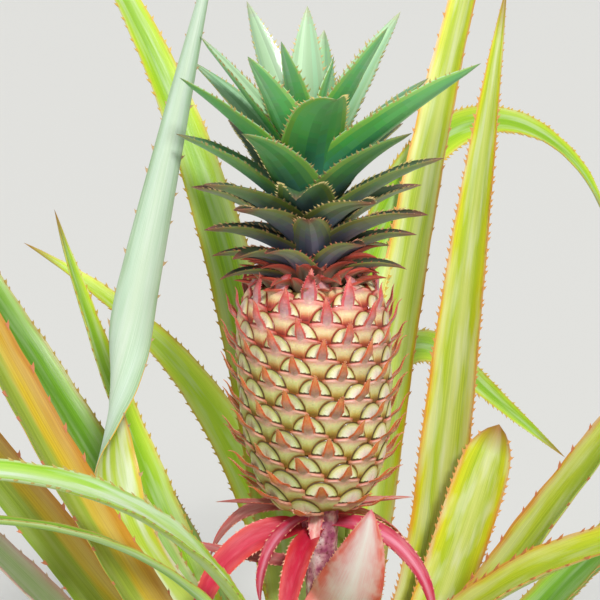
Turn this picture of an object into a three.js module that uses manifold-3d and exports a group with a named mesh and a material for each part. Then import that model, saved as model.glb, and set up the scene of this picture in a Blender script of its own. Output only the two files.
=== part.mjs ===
// A fruiting pineapple plant, rooted in the ground: a short stem with a rosette of sword leaves,
// a fruit stalk with red bracts, and a fruit that carries its crown of leaves.
// Millimetres, +Z up. The origin is the middle of the flat cut under the stem, at ground level.
// A viewer in front of the plant looks along +Y, and azimuths turn anticlockwise from +X.
import * as THREE from "three";
import { ConvexHull } from "three/addons/math/ConvexHull.js";
import { mergeVertices } from "three/addons/utils/BufferGeometryUtils.js";
import Module from "manifold-3d";

const wasm = await Module();
wasm.setup();

// Driving dimensions
const DEG = Math.PI / 180;
const GOLDEN = 137.508;
const CLEAR = 0.35;
const BLADE_GAP = 0.9;
const FRONT = 270;

const STEM_HEIGHT = 256;
const STEM_FOOT_RADIUS = 25;
const STEM_WAIST_RADIUS = 23;
const STEM_TOP_RADIUS = 30;
const STEM_SIDES = 20;

const LEAF_COUNT = 34;
const LEAF_TOP = 244;
const LEAF_PITCH = 6.3;
const LEAF_FIRST_AZIMUTH = 85;
const LEAF_STATIONS = 10;

const HEAD_LEAN = -2;
const STALK_LENGTH = 179;
const STALK_RADIUS = 12;
const STALK_TOP_RADIUS = 15;
const STALK_SIDES = 14;
const BRACT_STATIONS = 7;

const FRUIT_HEIGHT = 160;
const FRUIT_RADIUS = 53;
const FRUIT_WIDEST = 104;
const FRUIT_LOWER_SPAN = 114;
const FRUIT_UPPER_SPAN = 64;
const EYE_COUNT = 144;
const EYE_TURN = 137.4;
const EYE_PHASE = 97;
const EYE_CROWDING = 0.22;
const EYE_HEIGHT = 4;

const CROWN_LEAVES = 44;
const CROWN_FOOT_SPAN = 89;
const CROWN_CORE_RADIUS = 20;
const CROWN_CORE_HEIGHT = 96;
const CROWN_CORE_SIDES = 12;
const CROWN_PHASE = 204.8;
const CROWN_STATIONS = 5;

// Maths shared by the parts
const mix = (a, b, t) => a + (b - a) * t;

function smooth(x) {
  const t = Math.min(1, Math.max(0, x));
  return t * t * (3 - 2 * t);
}

function polar(radius, azimuth, z) {
  return new THREE.Vector3(radius * Math.cos(azimuth * DEG), radius * Math.sin(azimuth * DEG), z);
}

// Solids for cutting and joining
function solidOf(geometry) {
  const bare = geometry.clone();
  bare.deleteAttribute("normal");
  bare.deleteAttribute("uv");
  const merged = mergeVertices(bare, 1e-4);
  return new wasm.Manifold(
    new wasm.Mesh({
      numProp: 3,
      vertProperties: merged.attributes.position.array,
      triVerts: new Uint32Array(merged.index.array),
    }),
  );
}

function geometryOf(solid) {
  const mesh = solid.getMesh();
  const geometry = new THREE.BufferGeometry();
  geometry.setAttribute("position", new THREE.BufferAttribute(mesh.vertProperties, 3));
  geometry.setIndex(new THREE.BufferAttribute(mesh.triVerts, 1));
  geometry.computeVertexNormals();
  return geometry;
}

// The largest of the pieces that a cut leaves
function mainPiece(solid) {
  const pieces = solid.decompose();
  return pieces.reduce((best, piece) => (piece.volume() > best.volume() ? piece : best));
}

function lathe(outline, sides) {
  const points = outline.map(([radius, z]) => new THREE.Vector2(radius, z));
  const geometry = new THREE.LatheGeometry(points, sides);
  geometry.rotateX(Math.PI / 2);
  return geometry;
}

// The middle line of a blade and its own directions at each of many small steps: it sets off
// at `rise` above the horizontal, rolls near its foot, bends down by `bend`, swings sideways,
// and may kink in one place and twist in another.
const LINE_STEPS = 72;

function middleLine(blade) {
  const line = [];
  const at = blade.foot.clone();
  const step = blade.length / LINE_STEPS;
  for (let i = 0; i <= LINE_STEPS; i += 1) {
    const s = i / LINE_STEPS;
    const turned = smooth((s - blade.twistAt) / 0.3 + 0.5);
    const kinked = smooth((s - blade.kinkAt) / 0.3 + 0.5);
    const rise = (blade.rise - blade.bend * s ** blade.bendPower - blade.kink * kinked) * DEG;
    const heading = (blade.azimuth + blade.swing * s ** 1.5) * DEG;
    const turn = (blade.roll * smooth(s / 0.15) + blade.twist * turned) * DEG;
    const along = new THREE.Vector3(
      Math.cos(rise) * Math.cos(heading),
      Math.cos(rise) * Math.sin(heading),
      Math.sin(rise),
    );
    const level = new THREE.Vector3(-Math.sin(heading), Math.cos(heading), 0);
    const above = along.clone().cross(level);
    const across = level.clone().multiplyScalar(Math.cos(turn));
    across.addScaledVector(above, Math.sin(turn));
    line.push({ at: at.clone(), across, up: along.clone().cross(across) });
    at.addScaledVector(along, step);
  }
  return line;
}

// What a blade does where its own habit says nothing else
const PLAIN = { kink: 0, kinkAt: 0.5, swing: 0, roll: 0, twist: 0, twistAt: 0.5 };

// A blade narrows to its neck at the foot and tapers to a sharp tip
function halfWidthAt(blade, s) {
  const swell = mix(blade.neck, 1, smooth(s / blade.widest));
  return blade.halfWidth * swell * (1 - s ** blade.taper) ** 0.9;
}

// Sections of a blade, each point as [side, channel, keel]: long leaves have a flat channel over
// a broad keel, short ones are folded along the middle. The cap closes the foot.
const BROAD = {
  points: [
    [-1, 1, 0],
    [-0.42, 0, -1],
    [0.42, 0, -1],
    [1, 1, 0],
    [0.42, 0, 0],
    [-0.42, 0, 0],
  ],
  cap: [0, 5, 1, 1, 5, 4, 1, 4, 2, 2, 4, 3],
};
const FOLDED = {
  points: [
    [-1, 1, 0],
    [0, 0, -1],
    [1, 1, 0],
    [0, 0, 0],
  ],
  cap: [0, 3, 1, 1, 3, 2],
};

// A blade as a closed solid of `stations` sections and a tip, made larger all round by `grow`
function bladeGeometry(blade, section, stations, grow) {
  const line = middleLine(blade);
  const ring = section.points.length;
  const positions = [];
  for (let i = 0; i < stations; i += 1) {
    const s = i / stations;
    const { at, across, up } = line[Math.round(s * LINE_STEPS)];
    const half = halfWidthAt(blade, s);
    const thick = blade.thick * (1 - 0.72 * s);
    for (const [side, channel, keel] of section.points) {
      const outward = channel > 0 ? 5 * blade.channel * grow : Math.sign(keel + 0.5) * grow;
      const point = at.clone();
      point.addScaledVector(across, side * (half + 3 * grow));
      point.addScaledVector(up, channel * half * blade.channel + keel * thick + outward);
      positions.push(point.x, point.y, point.z);
    }
  }
  const tip = line[LINE_STEPS].at;
  positions.push(tip.x, tip.y, tip.z);

  const faces = [...section.cap];
  for (let i = 0; i < stations - 1; i += 1) {
    for (let a = 0; a < ring; a += 1) {
      const b = (a + 1) % ring;
      const here = i * ring;
      const next = here + ring;
      faces.push(here + a, here + b, next + b, here + a, next + b, next + a);
    }
  }
  const last = (stations - 1) * ring;
  for (let a = 0; a < ring; a += 1) {
    faces.push(last + a, last + ((a + 1) % ring), stations * ring);
  }
  const geometry = new THREE.BufferGeometry();
  geometry.setAttribute("position", new THREE.Float32BufferAttribute(positions, 3));
  geometry.setIndex(faces);
  return geometry;
}

// Cuts a solid clear of every guard that its box meets, and keeps the main piece
function clearOf(solid, guards) {
  let left = solid;
  for (const guard of guards) {
    const a = left.boundingBox();
    const b = guard.boundingBox();
    const meet = [0, 1, 2].every((i) => a.min[i] < b.max[i] && b.min[i] < a.max[i]);
    if (meet) left = left.subtract(guard);
  }
  return mainPiece(left);
}

// Materials
const paint = (color, roughness) => new THREE.MeshStandardMaterial({ color, roughness, metalness: 0 });
const stemPaint = paint("#8f8a62", 0.8);
const leafPaint = paint("#8db524", 0.45);
const stalkPaint = paint("#b98a86", 0.6);
const bractPaint = paint("#d8344f", 0.5);
const fruitPaint = paint("#c9b45c", 0.5);
const crownPaint = paint("#4f8a55", 0.55);

const plant = new THREE.Group();
plant.name = "pineapple_plant";

function addPiece(parent, name, geometry, material) {
  const mesh = new THREE.Mesh(geometry, material);
  mesh.name = name;
  parent.add(mesh);
}

// Stem: club-shaped, flared a little at the ground, rounded off under the fruit stalk
function stemOutline(grow) {
  return [
    [0, -grow],
    [STEM_FOOT_RADIUS + grow, -grow],
    [STEM_WAIST_RADIUS + grow, 30],
    [mix(STEM_WAIST_RADIUS, STEM_TOP_RADIUS, 0.6) + grow, 110],
    [STEM_TOP_RADIUS + grow, 190],
    [STEM_TOP_RADIUS - 3 + grow, 222],
    [STEM_TOP_RADIUS - 9 + grow, 244],
    [STALK_TOP_RADIUS + grow, STEM_HEIGHT + grow],
    [0, STEM_HEIGHT + grow],
  ];
}

function stemRadiusAt(z) {
  const outline = stemOutline(0).slice(1, -1);
  const next = outline.findIndex(([, height]) => height >= z);
  const [r1, z1] = outline[Math.max(1, next)];
  const [r0, z0] = outline[Math.max(1, next) - 1];
  return mix(r0, r1, (z - z0) / (z1 - z0));
}

addPiece(plant, "stem", lathe(stemOutline(0), STEM_SIDES), stemPaint);

// Rosette leaves, counted down from the youngest at the top of the stem. Younger leaves stand
// steeper, and the young ones in front of the fruit stalk are short.
function rosetteLeaf(order) {
  const azimuth = LEAF_FIRST_AZIMUTH - GOLDEN * order;
  const z = LEAF_TOP - LEAF_PITCH * order;
  const facing = Math.max(0, Math.cos((azimuth - FRONT) * DEG)) ** 1.5;
  const age = order / (LEAF_COUNT - 1);
  const young = 1 - smooth(order / 16);
  return {
    ...PLAIN,
    foot: polar(stemRadiusAt(z) - 5, azimuth, z),
    azimuth,
    rise: mix(80, 18, age) - 8 * facing,
    bend: mix(22, 40, age),
    bendPower: 1.5,
    length: mix(760, 600, age) + 150 * Math.sin(Math.PI * age) - 600 * facing * young,
    halfWidth: mix(23, 19, age),
    neck: 0.72,
    widest: 0.3,
    taper: 2.4,
    channel: 0.36,
    thick: 7.5,
  };
}

// Leaves with a bend, swing or twist of their own, by their order from the top
const SHAPED = {
  0: {
    rise: 77,
    kink: -10,
    kinkAt: 0.3,
    bend: 168,
    bendPower: 2,
    swing: -68,
    roll: 60,
    length: 800,
    halfWidth: 20,
    taper: 3.2,
  },
  1: { rise: 56, bend: 46, swing: 20, roll: 30, length: 460 },
  2: {
    rise: 50,
    bend: -3,
    kink: -52,
    kinkAt: 0.355,
    roll: -80,
    twist: 180,
    twistAt: 0.455,
    length: 670,
    halfWidth: 26,
    neck: 0.6,
    widest: 0.55,
    taper: 1.6,
  },
  3: {
    azimuth: 27,
    rise: 58,
    bend: 6,
    swing: 8,
    kink: -28,
    kinkAt: 0.22,
    roll: 38,
    length: 600,
    halfWidth: 22,
  },
  4: { rise: 74, length: 150 },
  5: { rise: 76, bend: 30, swing: 40, roll: -25, length: 800 },
  6: { rise: 60, bend: 5, roll: 36, length: 520 },
  7: { rise: 48, bend: -24, bendPower: 0.5, roll: -45, length: 760, halfWidth: 22 },
  8: { azimuth: 68, rise: 72, bend: 10, swing: -25, length: 880 },
  9: { rise: 66, length: 190 },
  10: { rise: 54, bend: 10, length: 800 },
  11: { rise: 68.5, bend: -6, roll: 55, length: 326, halfWidth: 20.5, taper: 24 },
  12: { rise: 80, bend: 120, bendPower: 1.5, swing: -48, roll: -25, length: 670, halfWidth: 15 },
  13: { rise: 56, bend: 24, swing: 95, roll: -30, length: 580, taper: 3 },
  14: { rise: 56, bend: 40, length: 620 },
  15: { rise: 56, bend: 6, roll: -50, length: 760 },
  16: { rise: 29, bend: 38 },
  18: { azimuth: 135, rise: 54, bend: -20, swing: 22, length: 560, taper: 3 },
  21: { rise: 80, bend: 8, kink: 112, kinkAt: 0.6, swing: -50, roll: 90, length: 700 },
  23: { rise: 50 },
  25: { rise: 78, bend: 118, bendPower: 1.8, swing: -60, length: 740, halfWidth: 7 },
  28: { rise: 50, bend: 20 },
  33: { rise: 20, bend: 36 },
};

const stemGuard = solidOf(lathe(stemOutline(CLEAR), STEM_SIDES));
const leafGuards = [stemGuard];
for (let order = 0; order < LEAF_COUNT; order += 1) {
  const leaf = { ...rosetteLeaf(order), ...SHAPED[order] };
  const blade = clearOf(solidOf(bladeGeometry(leaf, BROAD, LEAF_STATIONS, 0)), leafGuards);
  leafGuards.push(solidOf(bladeGeometry(leaf, BROAD, LEAF_STATIONS, BLADE_GAP)).add(blade));
  const name = `leaf_${String(LEAF_COUNT - order).padStart(2, "0")}`;
  addPiece(plant, name, geometryOf(blade), leafPaint);
}

// The head leans a little and holds the fruit stalk, bracts, fruit and crown. Its own frame
// starts on the top of the stem.
const head = new THREE.Group();
head.name = "head";
head.position.z = STEM_HEIGHT;
head.rotation.y = HEAD_LEAN * DEG;
plant.add(head);

function stalkOutline(grow) {
  return [
    [0, 0.8 - grow],
    [STALK_RADIUS + 1 + grow, 0.8 - grow],
    [STALK_RADIUS + grow, STALK_LENGTH * 0.4],
    [STALK_RADIUS + grow, STALK_LENGTH * 0.75],
    [STALK_TOP_RADIUS + grow, STALK_LENGTH - CLEAR + grow],
    [0, STALK_LENGTH - CLEAR + grow],
  ];
}

addPiece(head, "fruit_stalk", lathe(stalkOutline(0), STALK_SIDES), stalkPaint);

// Fruit: a barrel covered with eyes on one spiral, a little smaller and closer towards the top
function fruitRadiusAt(z) {
  const below = z < FRUIT_WIDEST;
  const t = Math.abs(z - FRUIT_WIDEST) / (below ? FRUIT_LOWER_SPAN : FRUIT_UPPER_SPAN);
  return FRUIT_RADIUS * (1 - t ** (below ? 2.5 : 4)) ** 0.35;
}

// The barrel's outline as [radius, height] from the middle of its base to the middle of its top
function fruitOutline() {
  const outline = [];
  for (let i = 0; i < 8; i += 1) outline.push([(fruitRadiusAt(0) * i) / 8, -2 + i / 4]);
  for (let i = 0; i <= 60; i += 1) {
    const z = (FRUIT_HEIGHT * i) / 60;
    outline.push([fruitRadiusAt(z), z]);
  }
  const top = fruitRadiusAt(FRUIT_HEIGHT);
  for (let i = 7; i >= 0; i -= 1) outline.push([(top * i) / 8, FRUIT_HEIGHT + 2 - i / 4]);
  return outline;
}

// Where each eye sits on the skin, which way it faces and which way is up along the skin
function eyePlaces() {
  const outline = fruitOutline();
  const areas = [0];
  for (let i = 1; i < outline.length; i += 1) {
    const [r0, z0] = outline[i - 1];
    const [r1, z1] = outline[i];
    areas.push(areas[i - 1] + (r0 + r1) * Math.hypot(r1 - r0, z1 - z0));
  }
  const places = [];
  for (let k = 0; k < EYE_COUNT; k += 1) {
    const share = (k + 0.5) / EYE_COUNT;
    const wanted = areas[areas.length - 1] * share * (1 + EYE_CROWDING * (1 - share));
    const i = areas.findIndex((area) => area >= wanted);
    const [r0, z0] = outline[i - 1];
    const [r1, z1] = outline[i];
    const t = (wanted - areas[i - 1]) / (areas[i] - areas[i - 1]);
    const azimuth = EYE_PHASE + EYE_TURN * k;
    const side = polar(1, azimuth + 90, 0);
    const up = polar(r1 - r0, azimuth, z1 - z0).normalize();
    const at = polar(mix(r0, r1, t), azimuth, mix(z0, z1, t));
    places.push({ at, out: side.clone().cross(up), side, up });
  }
  return places;
}

// The fruit's skin: every eye is a button raised over the valleys that it shares with the eyes
// round it. The hull of all eyes tells which of them are neighbours.
function skinGeometry(places, grow) {
  const points = places.map(({ at, out }) => at.clone().addScaledVector(out, EYE_HEIGHT));
  const index = new Map(points.map((point, i) => [point, i]));
  const triangles = new ConvexHull().setFromPoints(points).faces.map((face) => {
    const { edge } = face;
    return [edge.prev, edge, edge.next].map((side) => index.get(side.head().point));
  });
  const owner = new Map();
  triangles.forEach((corners, t) => {
    corners.forEach((a, i) => owner.set(`${a} ${corners[(i + 1) % 3]}`, t));
  });
  const valleys = triangles.map((corners) => {
    const valley = new THREE.Vector3();
    for (const a of corners) valley.addScaledVector(places[a].at, 1 / 3);
    for (const a of corners) valley.addScaledVector(places[a].out, (grow - 0.5) / 3);
    return valley;
  });
  const raised = (a, height) => places[a].at.clone().addScaledVector(places[a].out, height + grow);
  const shoulder = (a, t) => {
    const { at, out } = places[a];
    return at.clone().lerp(valleys[t], 0.64).addScaledVector(out, EYE_HEIGHT * 0.8 + grow);
  };
  const soup = [];
  triangles.forEach((corners, t) => {
    corners.forEach((a, i) => {
      const u = owner.get(`${corners[(i + 1) % 3]} ${a}`);
      soup.push(raised(a, EYE_HEIGHT * 1.15), shoulder(a, u), shoulder(a, t));
      soup.push(shoulder(a, u), valleys[u], valleys[t]);
      soup.push(shoulder(a, u), valleys[t], shoulder(a, t));
    });
  });
  return new THREE.BufferGeometry().setFromPoints(soup);
}

// The free tip of an eye's bract stands up and away from the middle of the eye
function bractTipGeometry(grow) {
  const half = 4.4 + grow;
  const points = [
    [-half, -4, 1],
    [half, -4, 1],
    [0, -2.5, EYE_HEIGHT + 2 + grow],
    [0, 13, 12 + grow],
  ];
  const geometry = new THREE.BufferGeometry();
  geometry.setAttribute("position", new THREE.Float32BufferAttribute(points.flat(), 3));
  geometry.setIndex([0, 1, 2, 0, 2, 3, 2, 1, 3, 1, 0, 3]);
  return geometry;
}

function fruitSolid(grow) {
  const places = eyePlaces();
  let fruit = solidOf(skinGeometry(places, grow));
  for (const { at, out, side, up } of places) {
    if (at.z < 2 || at.z > FRUIT_HEIGHT - 12) continue;
    const place = new THREE.Matrix4().makeBasis(side, up, out).setPosition(at);
    fruit = fruit.add(solidOf(bractTipGeometry(grow).applyMatrix4(place)));
  }
  return fruit.trimByPlane([0, 0, 1], -grow).trimByPlane([0, 0, -1], -FRUIT_HEIGHT - grow);
}

const fruit = new THREE.Group();
fruit.name = "fruit_and_crown";
fruit.position.z = STALK_LENGTH;
head.add(fruit);
addPiece(fruit, "fruit", geometryOf(fruitSolid(0)), fruitPaint);
const fruitGuard = fruitSolid(CLEAR);

// Crown: leaves on one golden spiral round a short core, small and curled down at the bottom,
// long and upright at the top
function crownLeaf(k) {
  const t = k / (CROWN_LEAVES - 1);
  const azimuth = CROWN_PHASE + GOLDEN * k;
  const z = FRUIT_HEIGHT + 3 + CROWN_FOOT_SPAN * t ** 1.35;
  const grown = smooth(t / 0.85);
  return {
    ...PLAIN,
    foot: polar(mix(CROWN_CORE_RADIUS, 6, t) - 3, azimuth, z),
    azimuth,
    rise: 30 + 19 * t + 38 * t ** 5,
    bend: 2 + 52 * (1 - t),
    bendPower: 1.4,
    length: 56 + 68 * grown - 20 * t ** 8,
    halfWidth: 9 + 38 * t - 31 * t * t,
    neck: 0.9,
    widest: 0.2,
    taper: 1.7 + 0.5 * t,
    channel: 0.6 - 0.2 * t,
    thick: 2.6,
  };
}

// Crown leaves with a habit of their own, by their order from the fruit. Turn moves the azimuth.
const CROWN_SHAPED = {
  3: { turn: -17, rise: 48, length: 64 },
  6: { turn: -8, rise: 46, length: 60 },
  11: { turn: -10, rise: 52 },
  13: { length: 68 },
  14: { length: 88 },
  16: { turn: -13, rise: 42 },
  19: { rise: 36 },
  21: { rise: 42, length: 86 },
  23: { rise: 50, length: 112 },
  24: { rise: 44, bend: 60, length: 95 },
  26: { rise: 46, length: 104 },
  27: { rise: 44, length: 106 },
  29: { turn: 9, rise: 50, bend: 30, length: 100 },
  30: { rise: 53 },
  31: { rise: 54, length: 132 },
  32: { turn: -2, rise: 68, bend: 64, length: 117, halfWidth: 23, taper: 3 },
  33: { turn: 15, rise: 64, bend: 5, length: 125 },
  34: { rise: 50, length: 118 },
  35: { rise: 38, bend: 8, length: 147 },
  36: { turn: 15, rise: 66, bend: 2, length: 138 },
  37: { turn: -18, rise: 62, bend: 16, length: 108 },
  38: { rise: 57, bend: 5, length: 133 },
  39: { rise: 55, bend: 3, length: 118 },
  40: { turn: 15, rise: 56, bend: 5, length: 119 },
  42: { rise: 80, length: 84 },
  43: { rise: 76, length: 70 },
};

function shapedCrownLeaf(k) {
  const { turn = 0, ...habit } = CROWN_SHAPED[k] ?? {};
  const leaf = { ...crownLeaf(k), ...habit };
  return { ...leaf, azimuth: leaf.azimuth + turn };
}

function crownSolid() {
  const base = FRUIT_HEIGHT + CLEAR;
  const outline = [
    [0, base],
    [CROWN_CORE_RADIUS, base],
    [CROWN_CORE_RADIUS * 0.8, base + CROWN_CORE_HEIGHT * 0.4],
    [4, base + CROWN_CORE_HEIGHT],
    [0, base + CROWN_CORE_HEIGHT],
  ];
  let crown = solidOf(lathe(outline, CROWN_CORE_SIDES));
  for (let k = 0; k < CROWN_LEAVES; k += 1) {
    crown = crown.add(solidOf(bladeGeometry(shapedCrownLeaf(k), FOLDED, CROWN_STATIONS, 0)));
  }
  return mainPiece(crown.subtract(fruitGuard));
}

addPiece(fruit, "crown", geometryOf(crownSolid()), crownPaint);

// Red bracts round the top of the stalk: azimuth, depth under the fruit, rise, bend, length
// and half width. The upper ones point out, the lower ones arch over and hang, and a broad one
// stands up from lower on the stalk.
const BRACTS = [
  { azimuth: 350, drop: 6, rise: 12, bend: 8, length: 62, halfWidth: 7 },
  { azimuth: 188, drop: 6, rise: 14, bend: 12, length: 68, halfWidth: 6.5 },
  { azimuth: 262, drop: 6, rise: -12, bend: 60, length: 34, halfWidth: 6 },
  { azimuth: 60, drop: 7, rise: 15, bend: 90, length: 56, halfWidth: 9 },
  { azimuth: 103, drop: 11, rise: 14, bend: 95, length: 68, halfWidth: 9 },
  { azimuth: 12, drop: 13, rise: 8, bend: 75, length: 76, halfWidth: 8 },
  { azimuth: 176, drop: 9, rise: 26, bend: 104, roll: -35, length: 96, halfWidth: 7 },
  {
    azimuth: 293,
    drop: 94,
    rise: 42,
    bend: -30,
    length: 132,
    halfWidth: 29,
    neck: 0.75,
    widest: 0.42,
    taper: 2.6,
  },
  { azimuth: 222, drop: 12, rise: 12, bend: 115, length: 88, halfWidth: 7.5 },
  { azimuth: 335, drop: 19, rise: 18, bend: 120, roll: 30, length: 130, halfWidth: 8 },
  { azimuth: 252, drop: 21, rise: 8, bend: 88, length: 118, halfWidth: 10.5 },
  { azimuth: 202, drop: 22, rise: 20, bend: 125, roll: -50, length: 150, halfWidth: 11 },
  { azimuth: 186, drop: 50, rise: 8, bend: -14, roll: -30, length: 100, halfWidth: 6.5 },
  { azimuth: 38, drop: 22, rise: 12, bend: 95, length: 70, halfWidth: 9 },
];

const bractGuards = [
  solidOf(lathe(stalkOutline(CLEAR), STALK_SIDES)),
  fruitGuard.translate([0, 0, STALK_LENGTH]),
];
BRACTS.forEach((habit, i) => {
  const bract = {
    ...PLAIN,
    foot: polar(STALK_RADIUS - 3, habit.azimuth, STALK_LENGTH - habit.drop),
    bendPower: 0.9,
    neck: 0.7,
    widest: 0.3,
    taper: 2.2,
    channel: 0.22,
    thick: 1.8,
    ...habit,
  };
  const blade = clearOf(solidOf(bladeGeometry(bract, FOLDED, BRACT_STATIONS, 0)), bractGuards);
  bractGuards.push(solidOf(bladeGeometry(bract, FOLDED, BRACT_STATIONS, BLADE_GAP)));
  addPiece(head, `bract_${String(i + 1).padStart(2, "0")}`, geometryOf(blade), bractPaint);
});

export default plant;
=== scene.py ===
# A fruiting pineapple plant: the looks of its stem, rosette, fruit stalk, bracts, fruit and crown.
# Shapes are worked out in millimetres in the plant's own frame, and become metres in the meshes.
# A viewer in front of the plant looks along +Y, and azimuths turn anticlockwise from +X.
import math

import bpy
import numpy as np
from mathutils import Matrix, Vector


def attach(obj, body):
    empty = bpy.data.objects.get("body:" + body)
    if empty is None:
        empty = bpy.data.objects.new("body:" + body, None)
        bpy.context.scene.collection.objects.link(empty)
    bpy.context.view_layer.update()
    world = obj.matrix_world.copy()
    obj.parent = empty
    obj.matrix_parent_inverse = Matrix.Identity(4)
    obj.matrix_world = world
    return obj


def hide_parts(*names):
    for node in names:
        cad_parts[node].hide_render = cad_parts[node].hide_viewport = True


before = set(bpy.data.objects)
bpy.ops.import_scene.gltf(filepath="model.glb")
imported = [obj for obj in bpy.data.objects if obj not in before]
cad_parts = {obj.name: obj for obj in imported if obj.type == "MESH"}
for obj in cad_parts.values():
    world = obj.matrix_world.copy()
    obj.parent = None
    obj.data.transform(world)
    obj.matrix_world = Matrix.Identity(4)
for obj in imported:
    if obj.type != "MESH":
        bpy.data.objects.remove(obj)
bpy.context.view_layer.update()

# Driving dimensions, the same as the solids'
MM = 0.001
DEG = math.pi / 180
GOLDEN = 137.508
FRONT = 270

STEM_HEIGHT = 256
STEM_FOOT_RADIUS = 25
STEM_WAIST_RADIUS = 23
STEM_TOP_RADIUS = 30

LEAF_COUNT = 34
LEAF_TOP = 244
LEAF_PITCH = 6.3
LEAF_FIRST_AZIMUTH = 85

HEAD_LEAN = -2
STALK_LENGTH = 179
STALK_RADIUS = 12
STALK_TOP_RADIUS = 15

FRUIT_HEIGHT = 160
FRUIT_RADIUS = 53
FRUIT_WIDEST = 104
FRUIT_LOWER_SPAN = 114
FRUIT_UPPER_SPAN = 64
EYE_COUNT = 144
EYE_TURN = 137.4
EYE_PHASE = 97
EYE_CROWDING = 0.22

CROWN_LEAVES = 44
CROWN_FOOT_SPAN = 89
CROWN_CORE_RADIUS = 20
CROWN_CORE_HEIGHT = 96
CROWN_PHASE = 204.8

# How fine the meshes are: steps along and round each kind of piece, or the length of one step, the
# angle from which an edge is sharp, and the levels to which colours are rounded
LINE_STEPS = 72
FINE_STEPS = 6
LEAF_ROW = 5
LEAF_COLUMNS = 13
BRACT_ROW = 2.4
BRACT_COLUMNS = 11
CROWN_ROW = 2.6
CROWN_COLUMNS = 11
STEM_ROWS = 320
STEM_SIDES = 120
STALK_ROWS = 160
STALK_SIDES = 72
FRUIT_CORE_ROWS = 80
FRUIT_CORE_SIDES = 96
CROWN_CORE_ROWS = 40
CROWN_CORE_SIDES = 48
CREASE = 60
COLOUR_LEVELS = 24

# Where the random draws of each kind of piece start
LEAF_SEED = 1
BRACT_SEED = 100
EYE_SEED = 1000
CROWN_SEED = 2000


# Maths shared by the parts
def mix(a, b, t):
    return a + (b - a) * t


def smooth(x):
    t = np.clip(x, 0, 1)
    return t * t * (3 - 2 * t)


def polar(radius, azimuth, z):
    turn = np.asarray(azimuth) * DEG
    return np.stack(np.broadcast_arrays(radius * np.cos(turn), radius * np.sin(turn), z), -1)


def rows_between(x, known, rows):
    """Rows read off between the known places, column by column."""
    return np.stack([np.interp(x, known, column) for column in rows.T], -1)


def head_place(points, z=0.0):
    """Points in the leaning head's frame, raised by z along it, as places in the plant's frame."""
    lean = HEAD_LEAN * DEG
    x = points[..., 0]
    y = points[..., 1]
    up = points[..., 2] + z
    sideways = x * math.cos(lean) + up * math.sin(lean)
    upwards = up * math.cos(lean) - x * math.sin(lean)
    return np.stack([sideways, y, upwards + STEM_HEIGHT], -1)


def colour_of(code):
    """An sRGB colour as three numbers from 0 to 1."""
    return np.array([int(code[i : i + 2], 16) for i in (1, 3, 5)]) / 255


def linear(colour):
    colour = np.asarray(colour, float)
    return np.where(colour <= 0.04045, colour / 12.92, ((colour + 0.055) / 1.055) ** 2.4)


def between(code, other_code, share):
    """A colour between those of two codes."""
    return mix(colour_of(code), colour_of(other_code), share)


def ramp(value, *stops):
    """Colours along a ramp of (place, colour code) stops."""
    places = [place for place, _ in stops]
    return rows_between(value, places, np.array([colour_of(code) for _, code in stops]))


def blended(a, b, share):
    return a + (b - a) * np.asarray(share)[..., None]


# Meshes
class Pile:
    """Points and faces that become one mesh. Faces are dealt material numbers, and points may
    carry how far across and along their blade they are."""

    def __init__(self):
        self.points = []
        self.faces = []
        self.finish = []
        self.shares = {"across": [], "along": []}
        self.count = 0

    def add(self, points, faces, finish, across=0.0, along=0.0):
        points = points.reshape(-1, 3)
        self.points.append(points)
        for label, value in (("across", across), ("along", along)):
            spread = np.broadcast_to(np.asarray(value, float).ravel(), len(points))
            self.shares[label].append(spread)
        first = 0
        for part in faces:
            self.faces.append(part + self.count)
            numbers = finish if np.ndim(finish) == 0 else finish[first : first + len(part)]
            self.finish.append(np.broadcast_to(numbers, len(part)))
            first += len(part)
        self.count += len(points)

    def move_to_head(self, z=0.0):
        """Takes all points as places in the leaning head's frame, raised by z along it."""
        self.points = [head_place(points, z) for points in self.points]

    def mesh(self, name):
        mesh = bpy.data.meshes.new(name)
        mesh.vertices.add(self.count)
        mesh.vertices.foreach_set("co", np.concatenate(self.points).ravel() * MM)
        sizes = np.concatenate([np.full(len(part), part.shape[1]) for part in self.faces])
        corners = np.concatenate([part.ravel() for part in self.faces])
        mesh.loops.add(len(corners))
        mesh.loops.foreach_set("vertex_index", corners.astype(np.int32))
        mesh.polygons.add(len(sizes))
        mesh.polygons.foreach_set("loop_start", (np.cumsum(sizes) - sizes).astype(np.int32))
        mesh.polygons.foreach_set("material_index", np.concatenate(self.finish).astype(np.int32))
        mesh.polygons.foreach_set("use_smooth", np.ones(len(sizes), bool))
        for label, values in self.shares.items():
            layer = mesh.attributes.new(label, "FLOAT", "POINT")
            layer.data.foreach_set("value", np.concatenate(values).astype(np.float32))
        mesh.update(calc_edges=True)
        mesh.set_sharp_from_angle(angle=CREASE * DEG)
        return mesh


def new_object(name, data):
    made = bpy.data.objects.new(name, data)
    bpy.context.scene.collection.objects.link(made)
    return made


def add_piece(name, pile, materials, nodes):
    """Makes one piece of the pile, which stands for the CAD nodes and rides with the plant."""
    piece = new_object(name, pile.mesh(name))
    for material in materials:
        piece.data.materials.append(material)
    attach(piece, "root")
    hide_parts(*nodes)


def grid_faces(rows, ring, closed):
    """Quads of a grid of rows, its normals along (row step) x (ring step)."""
    i, j = np.meshgrid(np.arange(rows - 1), np.arange(ring if closed else ring - 1), indexing="ij")
    k = (j + 1) % ring
    quads = np.stack([i * ring + j, (i + 1) * ring + j, (i + 1) * ring + k, i * ring + k], -1)
    return quads.reshape(-1, 4)


def face_means(values, faces):
    return np.concatenate([values[part].mean(1) for part in faces])


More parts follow.
